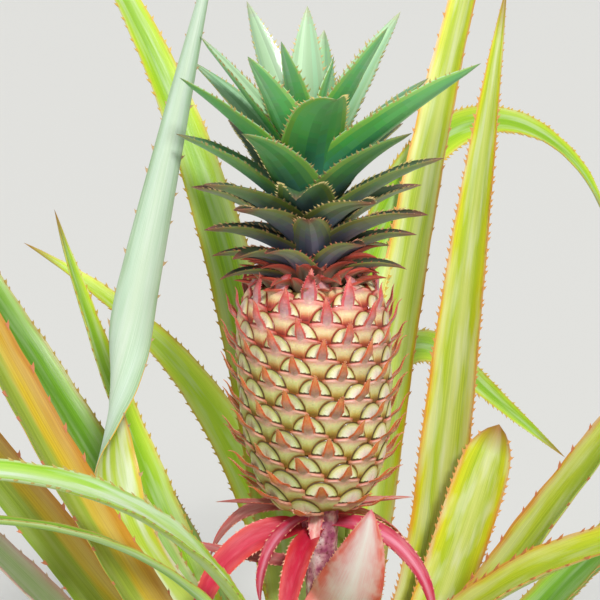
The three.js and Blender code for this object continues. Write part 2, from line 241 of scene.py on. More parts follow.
def add_lathed(pile, z, radius, sides):
    """A round body, closed at both ends, from its radius at each height and on each side."""
    radius = np.broadcast_to(radius, (len(z), sides))
    turn = np.linspace(0, 360, sides, endpoint=False)
    ring = polar(radius, turn[None, :], z[:, None])
    points = np.vstack([ring.reshape(-1, 3), [[0, 0, z[0]], [0, 0, z[-1]]]])
    j = np.arange(sides)
    k = (j + 1) % sides
    last = (len(z) - 1) * sides
    middle = len(z) * sides
    low = np.stack([np.full(sides, middle), k, j], -1)
    high = np.stack([np.full(sides, middle + 1), last + j, last + k], -1)
    wall = grid_faces(len(z), sides, True)[:, ::-1]
    pile.add(points, [low, wall, high], 0)


# Blades: every leaf and bract is a thin closed blade round a middle line. Its rise falls by its bend
# towards the tip and by its kink at one place, swing turns its heading, and roll and twist tip it.
# In the functions s is a share of its length, and u runs from -1 to 1 across it.
PLAIN = {"kink": 0, "kink_at": 0.5, "swing": 0, "roll": 0, "twist": 0, "twist_at": 0.5}
KINK_SPAN = 0.3
ROLL_SPAN = 0.15
SWING_POWER = 1.5
CHANNEL_POWER = 1.3
LONG_RIPPLE = 13
SHORT_RIPPLE = 5.2
RIPPLED_HALF_WIDTH = 9
THIN_HALF_WIDTH = 4


def directions(blade, s):
    """The directions along a blade, across it and out of its upper face, at shares of its length."""
    turned = smooth((s - blade["twist_at"]) / KINK_SPAN + 0.5)
    kinked = smooth((s - blade["kink_at"]) / KINK_SPAN + 0.5)
    rise = (blade["rise"] - blade["bend"] * s ** blade["bend_power"] - blade["kink"] * kinked) * DEG
    heading = (blade["azimuth"] + blade["swing"] * s**SWING_POWER) * DEG
    rolled = blade["roll"] * smooth(s / ROLL_SPAN)
    turn = ((rolled + blade["twist"] * turned) * DEG)[:, None]
    along = np.stack([np.cos(rise) * np.cos(heading), np.cos(rise) * np.sin(heading), np.sin(rise)], -1)
    level = np.stack([-np.sin(heading), np.cos(heading), np.zeros_like(s)], -1)
    across = level * np.cos(turn) + np.cross(along, level) * np.sin(turn)
    return along, across, np.cross(along, across)


def line_at(blade, s):
    """Places on the middle line. It passes through the solid's own steps and is smooth between."""
    step = blade["length"] / LINE_STEPS
    coarse = np.linspace(0, 1, LINE_STEPS + 1)
    knots = np.vstack([np.zeros(3), np.cumsum(directions(blade, coarse)[0][:-1], 0) * step])
    fine = np.linspace(0, 1, LINE_STEPS * FINE_STEPS + 1)
    along = directions(blade, fine)[0]
    path = np.vstack([np.zeros(3), np.cumsum((along[1:] + along[:-1]) / 2, 0) * step / FINE_STEPS])
    path = path + rows_between(fine, coarse, knots - path[::FINE_STEPS])
    return blade["foot"] + rows_between(s, fine, path)


def half_width_at(blade, s):
    swell = mix(blade["neck"], 1, smooth(s / blade["widest"]))
    return blade["half_width"] * swell * (1 - np.clip(s, 0, 1) ** blade["taper"]) ** 0.9


def lift_at(blade, half, s, u):
    """How high the upper face stands over the middle line: its channel, and its rippled margins."""
    flat = blade["flat"]
    channel = (np.clip(np.abs(u) - flat, 0, 1) / (1 - flat)) ** CHANNEL_POWER
    travel = s * blade["length"]
    phase = blade["azimuth"] * DEG + np.sign(u)
    wave = np.sin(travel / LONG_RIPPLE + phase) + 0.6 * np.sin(travel / SHORT_RIPPLE + 2.3 * phase)
    ripple = blade["ripple"] * wave * np.abs(u) ** 3 * np.minimum(half / RIPPLED_HALF_WIDTH, 1)
    return half * blade["channel"] * channel + ripple


def blade_grid(blade, rows, columns):
    """A blade's points, row by row round its upper and lower face, with its tip last. Returns the
    points, the faces, and how far across and along each point is."""
    s = np.linspace(0, 1, rows + 1)[:-1]
    _, across, up = directions(blade, s)
    half = half_width_at(blade, s)[:, None]
    u = np.sin(np.linspace(-1, 1, columns) * math.pi / 2)[None, :]
    lift = lift_at(blade, half, s[:, None], u)
    flesh = blade["flesh"] * (1 - 0.6 * s[:, None]) * (1 - u**2) ** 0.6 + blade["edge"]
    middle = line_at(blade, s)[:, None]
    upper = middle + across[:, None] * (u * half)[..., None] + up[:, None] * lift[..., None]
    lower = upper - up[:, None] * (flesh * np.minimum(half / THIN_HALF_WIDTH, 1))[..., None]
    ring = np.concatenate([upper, lower[:, ::-1]], 1)
    points = np.vstack([ring.reshape(-1, 3), line_at(blade, np.array([1.0]))])
    across_of = np.append(np.tile(np.append(u, u[:, ::-1]), rows), 0)
    along_of = np.append(np.repeat(s, 2 * columns), 1)

    turn = np.arange(columns - 1)
    cap = np.stack([turn, turn + 1, 2 * columns - 2 - turn, 2 * columns - 1 - turn], -1)
    j = np.arange(2 * columns)
    last = (rows - 1) * 2 * columns
    tip = np.stack([last + j, np.full_like(j, rows * 2 * columns), last + (j + 1) % (2 * columns)], -1)
    return points, [cap, grid_faces(rows, 2 * columns, True), tip], across_of, along_of


def lower_faces(rows, columns):
    """Which faces of a blade's grid, in order, are on its lower side."""
    j = np.arange(2 * columns)
    lower = (j >= columns) & (j < 2 * columns - 1)
    return np.concatenate([np.ones(columns - 1, bool), np.tile(lower, rows)])


# A thorn's faces, and its two rings of corners in sizes of the thorn: their reach out of the margin,
# their shift along it, the steps back and on to their corners, and half their thickness
THORN_QUADS = np.array([[0, 1, 2, 3], [0, 4, 5, 1], [1, 5, 6, 2], [2, 6, 7, 3], [3, 7, 4, 0]])
THORN_TIPS = np.array([[4, 8, 5], [5, 8, 6], [6, 8, 7], [7, 8, 4]])
THORN_RINGS = ((-0.35, 0, -1.1, 0.6, 0.24), (0.45, 0.3, -0.45, 0.22, 0.15))
THORN_POINTS = 9
THORN_HOOK = 0.95


def add_thorns(pile, root, along, outward, up, size, right, finish, stout=1.0):
    """Small hooked thorns on their roots. They lean along the blade, and `right` says on which
    margins the three directions are right-handed."""
    along, outward, up = (line * size[:, None] for line in (along, outward, up))
    points = []
    for reach, shift, back, front, thick in THORN_RINGS:
        for step, side in ((back, -1), (front, -1), (front, 1), (back, 1)):
            lengthwise = along * (shift + step * stout)
            points.append(root + outward * reach + lengthwise + up * (side * thick))
    points.append(root + outward + along * THORN_HOOK)
    points = np.stack(points, 1)
    for chosen, flip in ((right, 1), (~right, -1)):
        first = np.arange(int(chosen.sum()))[:, None, None] * THORN_POINTS
        faces = [
            (first + part[None, :, ::flip]).reshape(-1, part.shape[1]) for part in (THORN_QUADS, THORN_TIPS)
        ]
        pile.add(points[chosen], faces, finish)


def margin_thorns(pile, blade, pitch, size, finish, rng, first=0.1, last=0.97, stout=1.0):
    """Thorns along both margins of a blade, a pitch apart, smaller towards its tip."""
    for side in (-1, 1):
        count = max(2, int(blade["length"] * (last - first) / pitch))
        s = np.linspace(first, last, count) + rng.uniform(-0.3, 0.3, count) * (last - first) / count
        s = np.clip(s, 0.02, last)
        along, across, up = directions(blade, s)
        half = half_width_at(blade, s)
        lift = lift_at(blade, half, s, np.full_like(s, side))
        root = line_at(blade, s) + across * (side * half)[:, None] + up * (lift - blade["edge"] / 2)[:, None]
        outward = across * side + up * blade["channel"]
        outward /= np.linalg.norm(outward, axis=1, keepdims=True)
        sizes = size * rng.uniform(0.75, 1.2, count) * np.clip(half / (4 * size), 0.35, 1)
        add_thorns(pile, root, along, outward, up, sizes, np.full(count, side > 0), finish, stout)


# Materials
def new_material(name, roughness):
    material = bpy.data.materials.new(name)
    material.use_nodes = True
    shader = material.node_tree.nodes["Principled BSDF"]
    shader.inputs["Roughness"].default_value = roughness
    return material, material.node_tree, shader


def paint(code):
    return (*linear(colour_of(code)), 1)


def plain_material(name, roughness, code):
    material, _, shader = new_material(name, roughness)
    shader.inputs["Base Color"].default_value = paint(code)
    return material


def node(tree, kind, inputs=(), **settings):
    """A node with its settings, and its inputs linked or set."""
    made = tree.nodes.new(kind)
    for name, value in settings.items():
        setattr(made, name, value)
    for name, value in dict(inputs).items():
        if isinstance(value, bpy.types.NodeSocket):
            tree.links.new(value, made.inputs[name])
        else:
            made.inputs[name].default_value = value
    return made


def math_node(tree, operation, *values):
    return node(tree, "ShaderNodeMath", enumerate(values), operation=operation).outputs[0]


def noise_node(tree, place, scale, detail):
    inputs = {"Vector": place, "Scale": scale, "Detail": detail}
    return node(tree, "ShaderNodeTexNoise", inputs).outputs["Fac"]


def ramp_node(tree, value, *stops):
    made = node(tree, "ShaderNodeValToRGB", {"Fac": value})
    elements = made.color_ramp.elements
    while len(elements) < len(stops):
        elements.new(1)
    for element, (place, code) in zip(elements, stops):
        element.position = place
        element.color = paint(code)
    return made.outputs["Color"]


def mix_node(tree, share, a, b, blend="MIX"):
    """Colour b over colour a. The node's sockets 0, 6 and 7 are the share and the two colours."""
    made = node(tree, "ShaderNodeMix", {0: share, 6: a, 7: b}, data_type="RGBA", blend_type=blend)
    return made.outputs[2]


def painted(tree, colour, value, stops, amount, code):
    """The colour painted over where the ramp of the value is white."""
    share = math_node(tree, "MULTIPLY", ramp_node(tree, value, *stops), amount)
    return mix_node(tree, share, colour, paint(code))


def object_place(tree):
    return node(tree, "ShaderNodeTexCoord").outputs["Object"]


def add_bump(tree, shader, height, strength, depth):
    """Roughens the surface by a height from 0 to 1, whose depth is in millimetres."""
    bump = node(tree, "ShaderNodeBump", {"Height": height, "Strength": strength, "Distance": depth * MM})
    tree.links.new(bump.outputs[0], shader.inputs["Normal"])


def streaks(tree, across, along, wide, long, detail=3):
    """Noise drawn out along a blade: `wide` and `long` say how often it changes each way."""
    spread = {0: math_node(tree, "MULTIPLY", across, wide), 1: math_node(tree, "MULTIPLY", along, long)}
    place = node(tree, "ShaderNodeCombineXYZ", spread).outputs[0]
    return noise_node(tree, place, 1.0, detail)


BAND_WANDER = 0.24
FOOT_STOPS = ((0.04, "#ffffff"), (0.3, "#000000"))
TIP_STOPS = ((0.93, "#000000"), (0.99, "#ffffff"))
PATCH_STOPS = ((0.46, "#000000"), (0.62, "#ffffff"))
VEIN_STOPS = ((0.3, "#7a7a7a"), (0.7, "#ffffff"))


def blade_material(name, stops, foot, tip, bloom_and_sheen, bloom_and_sheen_share, roughness, line_depth, lean=0.0):
    """A blade's face: bands from its middle to its margins, a paler foot, a drier tip, long pale patches
    of bloom and painted sheen, and fine raised veins. Lean moves the middle of the bands towards one margin."""
    material, tree, shader = new_material(name, roughness)
    across = node(tree, "ShaderNodeAttribute", attribute_name="across").outputs["Fac"]
    along = node(tree, "ShaderNodeAttribute", attribute_name="along").outputs["Fac"]
    leant = math_node(tree, "ABSOLUTE", math_node(tree, "SUBTRACT", across, lean))
    away = math_node(tree, "DIVIDE", leant, 1 + abs(lean))
    drawn_out = streaks(tree, across, along, 3, 14)
    wander = math_node(tree, "MULTIPLY_ADD", drawn_out, BAND_WANDER, -BAND_WANDER / 2)
    colour = ramp_node(tree, math_node(tree, "ADD", away, wander), *stops)
    veins = streaks(tree, across, along, 46, 5, 2)
    colour = mix_node(tree, 0.5, colour, ramp_node(tree, veins, *VEIN_STOPS), "SOFT_LIGHT")
    # Pale patches: partly the leaves' waxy bloom, partly painted sheen
    patches = streaks(tree, across, along, 2.2, 7, 2)
    colour = painted(tree, colour, patches, PATCH_STOPS, bloom_and_sheen_share, bloom_and_sheen)
    colour = painted(tree, colour, along, FOOT_STOPS, 0.8, foot)
    colour = painted(tree, colour, along, TIP_STOPS, 0.85, tip)
    tree.links.new(colour, shader.inputs["Base Color"])
    add_bump(tree, shader, veins, 0.5, line_depth)
    return material


class Layer(Pile):
    """A pile that becomes one piece of the fruit or crown, with a plain material for each colour of
    its faces. The size and depth of the materials' grain are in millimetres."""

    def __init__(self, name, look, roughness, grain, grain_depth, coat=0.0):
        super().__init__()
        self.name = name
        self.look = look
        self.roughness = roughness
        self.grain = grain
        self.grain_depth = grain_depth
        self.coat = coat
        self.materials = []
        self.numbers = {}

    def material(self, colour):
        material, tree, shader = new_material(f"{self.look}_{len(self.materials):02d}", self.roughness)
        shader.inputs["Base Color"].default_value = (*linear(colour), 1)
        shader.inputs["Coat Weight"].default_value = self.coat
        grain = noise_node(tree, object_place(tree), 1 / (self.grain * MM), 3.0)
        add_bump(tree, shader, grain, 0.4, self.grain_depth)
        return material

    def deal(self, colours):
        """The material number of each colour, rounded to a few levels."""
        levels = np.round(np.clip(colours, 0, 1) * COLOUR_LEVELS).astype(int)
        keys, which = np.unique(levels, axis=0, return_inverse=True)
        numbers = []
        for key in map(tuple, keys):
            if key not in self.numbers:
                self.numbers[key] = len(self.materials)
                self.materials.append(self.material(np.array(key) / COLOUR_LEVELS))
            numbers.append(self.numbers[key])
        return np.array(numbers)[which.ravel()]

    def deal_one(self, colour):
        return self.deal(colour[None])[0]

    def add_coloured(self, points, faces, colours):
        self.add(points, faces, self.deal(colours))

    def set_on_stalk(self, part):
        """Moves the pile to the top of the stalk and makes the piece, which stands for the CAD node named as
        its part.
        """
        self.move_to_head(STALK_LENGTH)
        add_piece(self.name, self, self.materials, [part])


# Stem: club-shaped and ringed with the scars of fallen leaves. Its profile is heights and radii.
STEM_PROFILE = (
    (0, STEM_FOOT_RADIUS),
    (30, STEM_WAIST_RADIUS),
    (110, mix(STEM_WAIST_RADIUS, STEM_TOP_RADIUS, 0.6)),
    (190, STEM_TOP_RADIUS),
    (222, STEM_TOP_RADIUS - 3),
    (244, STEM_TOP_RADIUS - 9),
    (STEM_HEIGHT, STALK_TOP_RADIUS),
)
STEM_INSET = 0.5
STEM_RING_PITCH = 13
STEM_RING_DEPTH = 1.1
STEM_FIBRE_DEPTH = 0.22


def stem_radius_at(z):
    return np.interp(z, *zip(*STEM_PROFILE))


def stem():
    z = np.linspace(0, STEM_HEIGHT, STEM_ROWS)
    turn = np.linspace(0, 360, STEM_SIDES, endpoint=False)[None, :]
    rows = z[:, None]
    spiral = rows / LEAF_PITCH + turn / GOLDEN
    lip = 1 - np.abs(((rows / STEM_RING_PITCH + turn / 360 * 2) % 1) * 2 - 1)
    fibre = np.sin(turn * DEG * 41 + rows / 7) + 0.7 * np.sin(turn * DEG * 67 - rows / 4 + spiral)
    inward = STEM_INSET + STEM_RING_DEPTH * lip**3 + STEM_FIBRE_DEPTH * fibre
    ends = smooth(np.minimum(rows, STEM_HEIGHT - rows) / 3)
    pile = Pile()
    add_lathed(pile, z, stem_radius_at(rows) - inward * ends, STEM_SIDES)

    material, tree, shader = new_material("stem_scars", 0.85)
    stretch = {"Vector": object_place(tree), "Scale": (60, 60, 220)}
    rings = noise_node(tree, node(tree, "ShaderNodeMapping", stretch).outputs[0], 1.0, 5.0)
    stops = ((0.3, "#3d3420"), (0.5, "#7c7440"), (0.62, "#a39a5c"), (0.75, "#c9bd8a"))
    tree.links.new(ramp_node(tree, rings, *stops), shader.inputs["Base Color"])
    add_bump(tree, shader, rings, 0.7, 1.2)
    add_piece("stem_bark", pile, [material], ["stem"])


# Rosette leaves, counted down from the youngest at the top of the stem
LEAF_SINK = 5
YOUNG_LEAVES = 16


def rosette_leaf(order):
    azimuth = LEAF_FIRST_AZIMUTH - GOLDEN * order
    z = LEAF_TOP - LEAF_PITCH * order
    facing = max(0.0, math.cos((azimuth - FRONT) * DEG)) ** 1.5
    age = order / (LEAF_COUNT - 1)
    young = 1 - smooth(order / YOUNG_LEAVES)
    return dict(
        PLAIN,
        foot=polar(stem_radius_at(z) - LEAF_SINK, azimuth, z),
        azimuth=azimuth,
        rise=mix(80, 18, age) - 8 * facing,
        bend=mix(22, 40, age),
        bend_power=1.5,
        length=mix(760, 600, age) + 150 * math.sin(math.pi * age) - 600 * facing * young,
        half_width=mix(23, 19, age),
        neck=0.72, widest=0.3, taper=2.4, channel=0.36, flat=0.3, ripple=0.5, flesh=3.4, edge=0.8,
    )


# Leaves with a habit of their own, by their order from the top
SHAPED = {
    0: dict(
        rise=77, kink=-10, kink_at=0.3, bend=168, bend_power=2, swing=-68, roll=60,
        length=800, half_width=20, taper=3.2,
    ),
    1: dict(rise=56, bend=46, swing=20, roll=30, length=460),
    2: dict(
        rise=50, bend=-3, kink=-52, kink_at=0.355, roll=-80, twist=180, twist_at=0.455,
        length=670, half_width=26, neck=0.6, widest=0.55, taper=1.6,
    ),
    3: dict(azimuth=27, rise=58, bend=6, swing=8, kink=-28, kink_at=0.22, roll=38, length=600, half_width=22),
    4: dict(rise=74, length=150),
    5: dict(rise=76, bend=30, swing=40, roll=-25, length=800),
    6: dict(rise=60, bend=5, roll=36, length=520),
    7: dict(rise=48, bend=-24, bend_power=0.5, roll=-45, length=760, half_width=22),
    8: dict(azimuth=68, rise=72, bend=10, swing=-25, length=880),
    9: dict(rise=66, length=190),
    10: dict(rise=54, bend=10, length=800),
    11: dict(rise=68.5, bend=-6, roll=55, length=326, half_width=20.5, taper=24),
    12: dict(rise=80, bend=120, bend_power=1.5, swing=-48, roll=-25, length=670, half_width=15),
    13: dict(rise=56, bend=24, swing=95, roll=-30, length=580, taper=3),
    14: dict(rise=56, bend=40, length=620),
    15: dict(rise=56, bend=6, roll=-50, length=760),
    16: dict(rise=29, bend=38),
    18: dict(azimuth=135, rise=54, bend=-20, swing=22, length=560, taper=3),
    21: dict(rise=80, bend=8, kink=112, kink_at=0.6, swing=-50, roll=90, length=700),
    23: dict(rise=50),
    25: dict(rise=78, bend=118, bend_power=1.8, swing=-60, length=740, half_width=7),
    28: dict(rise=50, bend=20),
    33: dict(rise=20, bend=36),
}

# Leaf finishes: bands of the upper and the lower face from the middle to the margin, other places
# for the upper bands and how far they lean to one margin, the bloom with painted sheen and its share,
# and the thorns' colour, pitch and size
UPPER_PLACES = (0.0, 0.45, 0.8, 0.97)
LOWER_PLACES = (0.0, 0.6, 0.95)
FINISHES = {
    "fresh": dict(
        upper=("#86b81a", "#9cc81e", "#bedc2a", "#d8cc3a"), lower=("#9cc65c", "#aed268", "#c6dc6a"),
        bloom_and_sheen=("#e8f4dc", 0.3), thorn="#d9b24a", pitch=10, size=2.3,
    ),
    # Painted light: sunlit leaves get brighter, yellower bands than their own, and the pale middle band is a
    # painted reflection
    "sunlit": dict(
        upper=("#d2de74", "#b0c822", "#d8da1e", "#e8a42c"), lower=("#a8be50", "#c0cf5a", "#e0d24a"),
        bloom_and_sheen=("#f2f6d8", 0.4), thorn="#e4a45a", pitch=6, size=2.2,
    ),
    "amber": dict(
        upper=("#8cac3e", "#a2b83c", "#dcbc2c", "#cc8828"), lower=("#9db45a", "#b8be4c", "#eeb02a"),
        places=(0.0, 0.46, 0.6, 0.97), lean=0.8,
        bloom_and_sheen=("#e4e8b0", 0.16), thorn="#dc8a62", pitch=24, size=2.8,
    ),
    "edged": dict(
        upper=("#98b838", "#a8c030", "#bcc42c", "#c8882c"), lower=("#9db45a", "#b8be4c", "#e0b83a"),
        places=(0.0, 0.5, 0.86, 0.98), lean=-0.7,
        bloom_and_sheen=("#dfe6c0", 0.3), thorn="#d08050", pitch=19, size=2.6,
    ),
    "golden": dict(
        upper=("#b4d030", "#c4d828", "#d8dc30", "#dca040"), lower=("#a8c858", "#bcd060", "#d8cc58"),
        bloom_and_sheen=("#f2f6c8", 0.3), thorn="#cc8048", pitch=12, size=2.6,
    ),
    # Its pale middle and heavy bloom are partly a painted glossy highlight
    "mint": dict(
        upper=("#d4f0b4", "#b4e060", "#94cc28", "#a8c43c"), lower=("#a8d070", "#b8d878", "#bcd060"),
        bloom_and_sheen=("#f0faf2", 0.55), thorn="#c8b060", pitch=10, size=2.2,
    ),
    # Painted light: paler than the leaf's own yellow-green, to stand against the shadow cast on it
    "bright_and_painted_lit": dict(
        upper=("#b8dc2c", "#c4e430", "#d8e840", "#e0c83c"), lower=("#a4cc5c", "#b4d668", "#cae06a"),
        bloom_and_sheen=("#eef6d8", 0.3), thorn="#d9b24a", pitch=9, size=2.3,
    ),
    # Its pale lower face and heavy bloom are the silvery underside with a painted reflection on it
    "silver": dict(
        upper=("#b8d24c", "#b4d02c", "#cfdc3a", "#e0b040"), lower=("#d4e8cc", "#c4dfc2", "#a8c69c"),
        bloom_and_sheen=("#f4faf2", 0.65), thorn="#c9a87a", pitch=26, size=2.6,
    ),
    "rosy": dict(
        upper=("#d4e6b0", "#c8dc9c", "#dccaa8", "#dca49c"), lower=("#c8dca0", "#d0dca4", "#d8c0a4"),
        bloom_and_sheen=("#f4f4e8", 0.4), thorn="#e0b8a0", pitch=14, size=2.0,
    ),
    "shade": dict(
        upper=("#5c901a", "#6ca01e", "#88b428", "#a89c38"), lower=("#8ab458", "#98c05c", "#aeca60"),
        bloom_and_sheen=("#d0e0c0", 0.2), thorn="#b8964a", pitch=10, size=2.3,
    ),
}

# The finishes and thorn pitches of single leaves, by their order. Of the others, two in three of
# those below the shade line are in shade.
LEAF_FINISH = {
    0: "fresh", 1: "golden", 2: "silver", 3: "sunlit", 6: "edged", 7: "amber", 8: "sunlit",
    10: "shade", 11: "sunlit", 12: "mint", 13: "bright_and_painted_lit", 15: "amber", 23: "rosy",
}
LEAF_THORN_PITCH = {0: 6.5, 8: 16, 12: 9, 21: 7}
SHADE_LINE = 12


def leaf_materials(name, finish):
    bands = tuple(zip(finish.get("places", UPPER_PLACES), finish["upper"]))
    bloom_and_sheen, share = finish["bloom_and_sheen"]
    upper = blade_material(
        f"leaf_upper_{name}", bands, foot="#dfe3a8", tip="#a8662c", bloom_and_sheen=bloom_and_sheen, bloom_and_sheen_share=share,
        roughness=0.34, line_depth=0.5, lean=finish.get("lean", 0.0),
    )
    bands = tuple(zip(LOWER_PLACES, finish["lower"]))
    lower = blade_material(
        f"leaf_lower_{name}", bands, foot="#e4e2b4", tip="#a8703c", bloom_and_sheen="#e9f3ea", bloom_and_sheen_share=0.3,
        roughness=0.5, line_depth=0.7,
    )
    return [upper, lower, plain_material(f"leaf_thorn_{name}", 0.5, finish["thorn"])]


def rosette():
    materials = {name: leaf_materials(name, finish) for name, finish in FINISHES.items()}
    for order in range(LEAF_COUNT):
        leaf = {**rosette_leaf(order), **SHAPED.get(order, {})}
        usual = "shade" if order > SHADE_LINE and order % 3 else "fresh"
        name = LEAF_FINISH.get(order, usual)
        rows = int(leaf["length"] / LEAF_ROW)
        pile = Pile()
        points, faces, across, along = blade_grid(leaf, rows, LEAF_COLUMNS)
        pile.add(points, faces, np.where(lower_faces(rows, LEAF_COLUMNS), 1, 0), across, along)
        pitch = LEAF_THORN_PITCH.get(order, FINISHES[name]["pitch"])
        rng = np.random.default_rng(LEAF_SEED + order)
        margin_thorns(pile, leaf, pitch, FINISHES[name]["size"], 2, rng)
        number = LEAF_COUNT - order
        add_piece(f"leaf_{number:02d}_blade", pile, materials[name], [f"leaf_{number:02d}"])


# Fruit stalk: ribbed a little, with the scars of its bracts
STALK_PROFILE = (
    (0, STALK_RADIUS + 1),
    (0.4 * STALK_LENGTH, STALK_RADIUS),
    (0.75 * STALK_LENGTH, STALK_RADIUS),
    (STALK_LENGTH, STALK_TOP_RADIUS),
)
STALK_FOOT_GAP = 0.8
STALK_TOP_GAP = 0.4
STALK_RIBS = 9
STALK_RIB_DEPTH = 0.3
SCAR_PITCH = 34
SCAR_WAVE = 9
SCAR_RISE = 0.35


def fruit_stalk():
    z = np.linspace(STALK_FOOT_GAP, STALK_LENGTH - STALK_TOP_GAP, STALK_ROWS)
    rows = z[:, None]
    turn = np.linspace(0, 360, STALK_SIDES, endpoint=False)[None, :] * DEG
    radius = np.interp(rows, *zip(*STALK_PROFILE))
    from_scar = (rows - SCAR_WAVE * np.sin(turn)) % SCAR_PITCH - SCAR_PITCH / 2
    scar = np.exp(-(from_scar**2) / 5)
    rib = np.sin(turn * STALK_RIBS + rows / 20)
    radius = radius - SCAR_RISE + STALK_RIB_DEPTH * rib + SCAR_RISE * scar
    pile = Pile()
    add_lathed(pile, z, radius, STALK_SIDES)
    pile.move_to_head()

    material, tree, shader = new_material("stalk_skin", 0.55)
    place = object_place(tree)
    blotches = noise_node(tree, place, 130.0, 4.0)
    stops = ((0.34, "#a0446c"), (0.45, "#c0788e"), (0.54, "#d8a4ac"), (0.66, "#efd8da"))
    colour = ramp_node(tree, blotches, *stops)
    flecks = noise_node(tree, place, 420.0, 2.0)
    colour = painted(tree, colour, flecks, ((0.34, "#ffffff"), (0.4, "#000000")), 0.7, "#7a3c34")
    tree.links.new(colour, shader.inputs["Base Color"])
    add_bump(tree, shader, blotches, 0.5, 0.6)
    add_piece("stalk_skin", pile, [material], ["fruit_stalk"])


# Red bracts round the top of the stalk. Drop is how far below the fruit they grow.
BRACT_SINK = 3
BRACT = dict(
    PLAIN, bend_power=0.9, neck=0.7, widest=0.3, taper=2.2, channel=0.22, flat=0.1,
    ripple=0.5, flesh=1.1, edge=0.5,
)
BRACTS = [
    dict(azimuth=350, drop=6, rise=12, bend=8, length=62, half_width=7, look="pale"),
    dict(azimuth=188, drop=6, rise=14, bend=12, length=68, half_width=6.5, look="dusk"),
    dict(azimuth=262, drop=6, rise=-12, bend=60, length=34, half_width=6, look="pale"),
    dict(azimuth=60, drop=7, rise=15, bend=90, length=56, half_width=9, look="rust"),
    dict(azimuth=103, drop=11, rise=14, bend=95, length=68, half_width=9, look="crimson"),
    dict(azimuth=12, drop=13, rise=8, bend=75, length=76, half_width=8, look="rust"),
    dict(azimuth=176, drop=9, rise=26, bend=104, roll=-35, length=96, half_width=7, look="dusk"),
    dict(
        azimuth=297, drop=95, rise=42, bend=-30, roll=-42, length=132, half_width=26,
        neck=0.9, widest=0.34, channel=0.32, look="blush",
    ),
    dict(azimuth=222, drop=12, rise=12, bend=115, length=88, half_width=7.5, look="rose"),
    dict(azimuth=335, drop=19, rise=18, bend=120, roll=30, length=130, half_width=8, look="rose"),
    dict(azimuth=252, drop=21, rise=8, bend=88, length=118, half_width=10.5, look="crimson"),
    dict(azimuth=202, drop=22, rise=20, bend=125, roll=-50, length=150, half_width=11, look="crimson"),
    dict(azimuth=186, drop=50, rise=8, bend=-14, roll=-30, length=100, half_width=6.5, look="dusk"),
    dict(azimuth=38, drop=22, rise=12, bend=95, length=70, half_width=9, look="crimson"),
]

# Looks of the bracts: bands from the middle to the margin, foot, tip, bloom and its share
BRACT_PLACES = (0.0, 0.5, 0.9)
BRACT_LOOKS = {
    "crimson": (("#cc1c40", "#c41f36", "#d8403c"), "#cc2040", "#d8603a", "#ec8890", 0.16),
    "rose": (("#e888a0", "#cc1f48", "#b82440"), "#dc4868", "#b86a50", "#f6c8cc", 0.16),
    "blush": (("#fff0ee", "#f8c0c2", "#f06a5e"), "#f09a90", "#e8506a", "#fff2f0", 0.4),
    "pale": (("#f0b8ac", "#e68a84", "#dc5e66"), "#e05a6c", "#f2d0b8", "#fbe6dc", 0.4),
    "dusk": (("#b8706a", "#b05a58", "#c0564e"), "#c8505a", "#c89070", "#d8a8a0", 0.3),
    "rust": (("#c8643c", "#c4563a", "#d04a44"), "#d84a50", "#c8884a", "#e8b898", 0.2),
}


def stalk_bracts():
    thorn = plain_material("bract_thorn", 0.5, "#eba88c")
    materials = {}
    for name, (bands, foot, tip, bloom_and_sheen, share) in BRACT_LOOKS.items():
        stops = tuple(zip(BRACT_PLACES, bands))
        materials[name] = [blade_material(f"bract_{name}", stops, foot, tip, bloom_and_sheen, share, 0.42, 0.4), thorn]
    for i, habit in enumerate(BRACTS):
        foot = polar(STALK_RADIUS - BRACT_SINK, habit["azimuth"], STALK_LENGTH - habit["drop"])
        bract = {**BRACT, "foot": foot, **habit}
        pile = Pile()
        points, faces, across, along = blade_grid(bract, int(bract["length"] / BRACT_ROW), BRACT_COLUMNS)
        pile.add(points, faces, 0, across, along)
        rng = np.random.default_rng(BRACT_SEED + i)
        margin_thorns(pile, bract, pitch=4.2, size=1.25, finish=1, rng=rng, first=0.2)
        pile.move_to_head()
        add_piece(f"bract_{i + 1:02d}_blade", pile, materials[habit["look"]], [f"bract_{i + 1:02d}"])


# Fruit: a barrel covered with eyes on one spiral. Every eye has a dome of sepals, and over its
# lower half lies its own bract, which ends in a free toothed spike.
LOWER_POWER = 2.5
UPPER_POWER = 4
BARREL_POWER = 0.35
WALL_STEPS = 60
END_STEPS = 8
END_BULGE = 2
CORE_INSET = 0.4


def fruit_radius_at(z):
    below = z < FRUIT_WIDEST
    away = np.abs(z - FRUIT_WIDEST) / np.where(below, FRUIT_LOWER_SPAN, FRUIT_UPPER_SPAN)
    return FRUIT_RADIUS * (1 - away ** np.where(below, LOWER_POWER, UPPER_POWER)) ** BARREL_POWER


def fruit_outline():
    """The barrel's outline as [radius, height] from the middle of its base to that of its top."""
    share = np.arange(END_STEPS) / END_STEPS
    bulge = END_BULGE - END_BULGE * share
    z = FRUIT_HEIGHT * np.arange(WALL_STEPS + 1) / WALL_STEPS
    low = np.stack([fruit_radius_at(0) * share, -bulge], -1)
    wall = np.stack([fruit_radius_at(z), z], -1)
    high = np.stack([fruit_radius_at(FRUIT_HEIGHT) * share, FRUIT_HEIGHT + bulge], -1)[::-1]
    return np.vstack([low, wall, high])


OUTLINE = fruit_outline()
OUTLINE_STEPS = np.hypot(*np.diff(OUTLINE, axis=0).T)
OUTLINE_LENGTH = np.append(0, np.cumsum(OUTLINE_STEPS))
OUTLINE_SLOPE = np.gradient(OUTLINE, OUTLINE_LENGTH, axis=0)


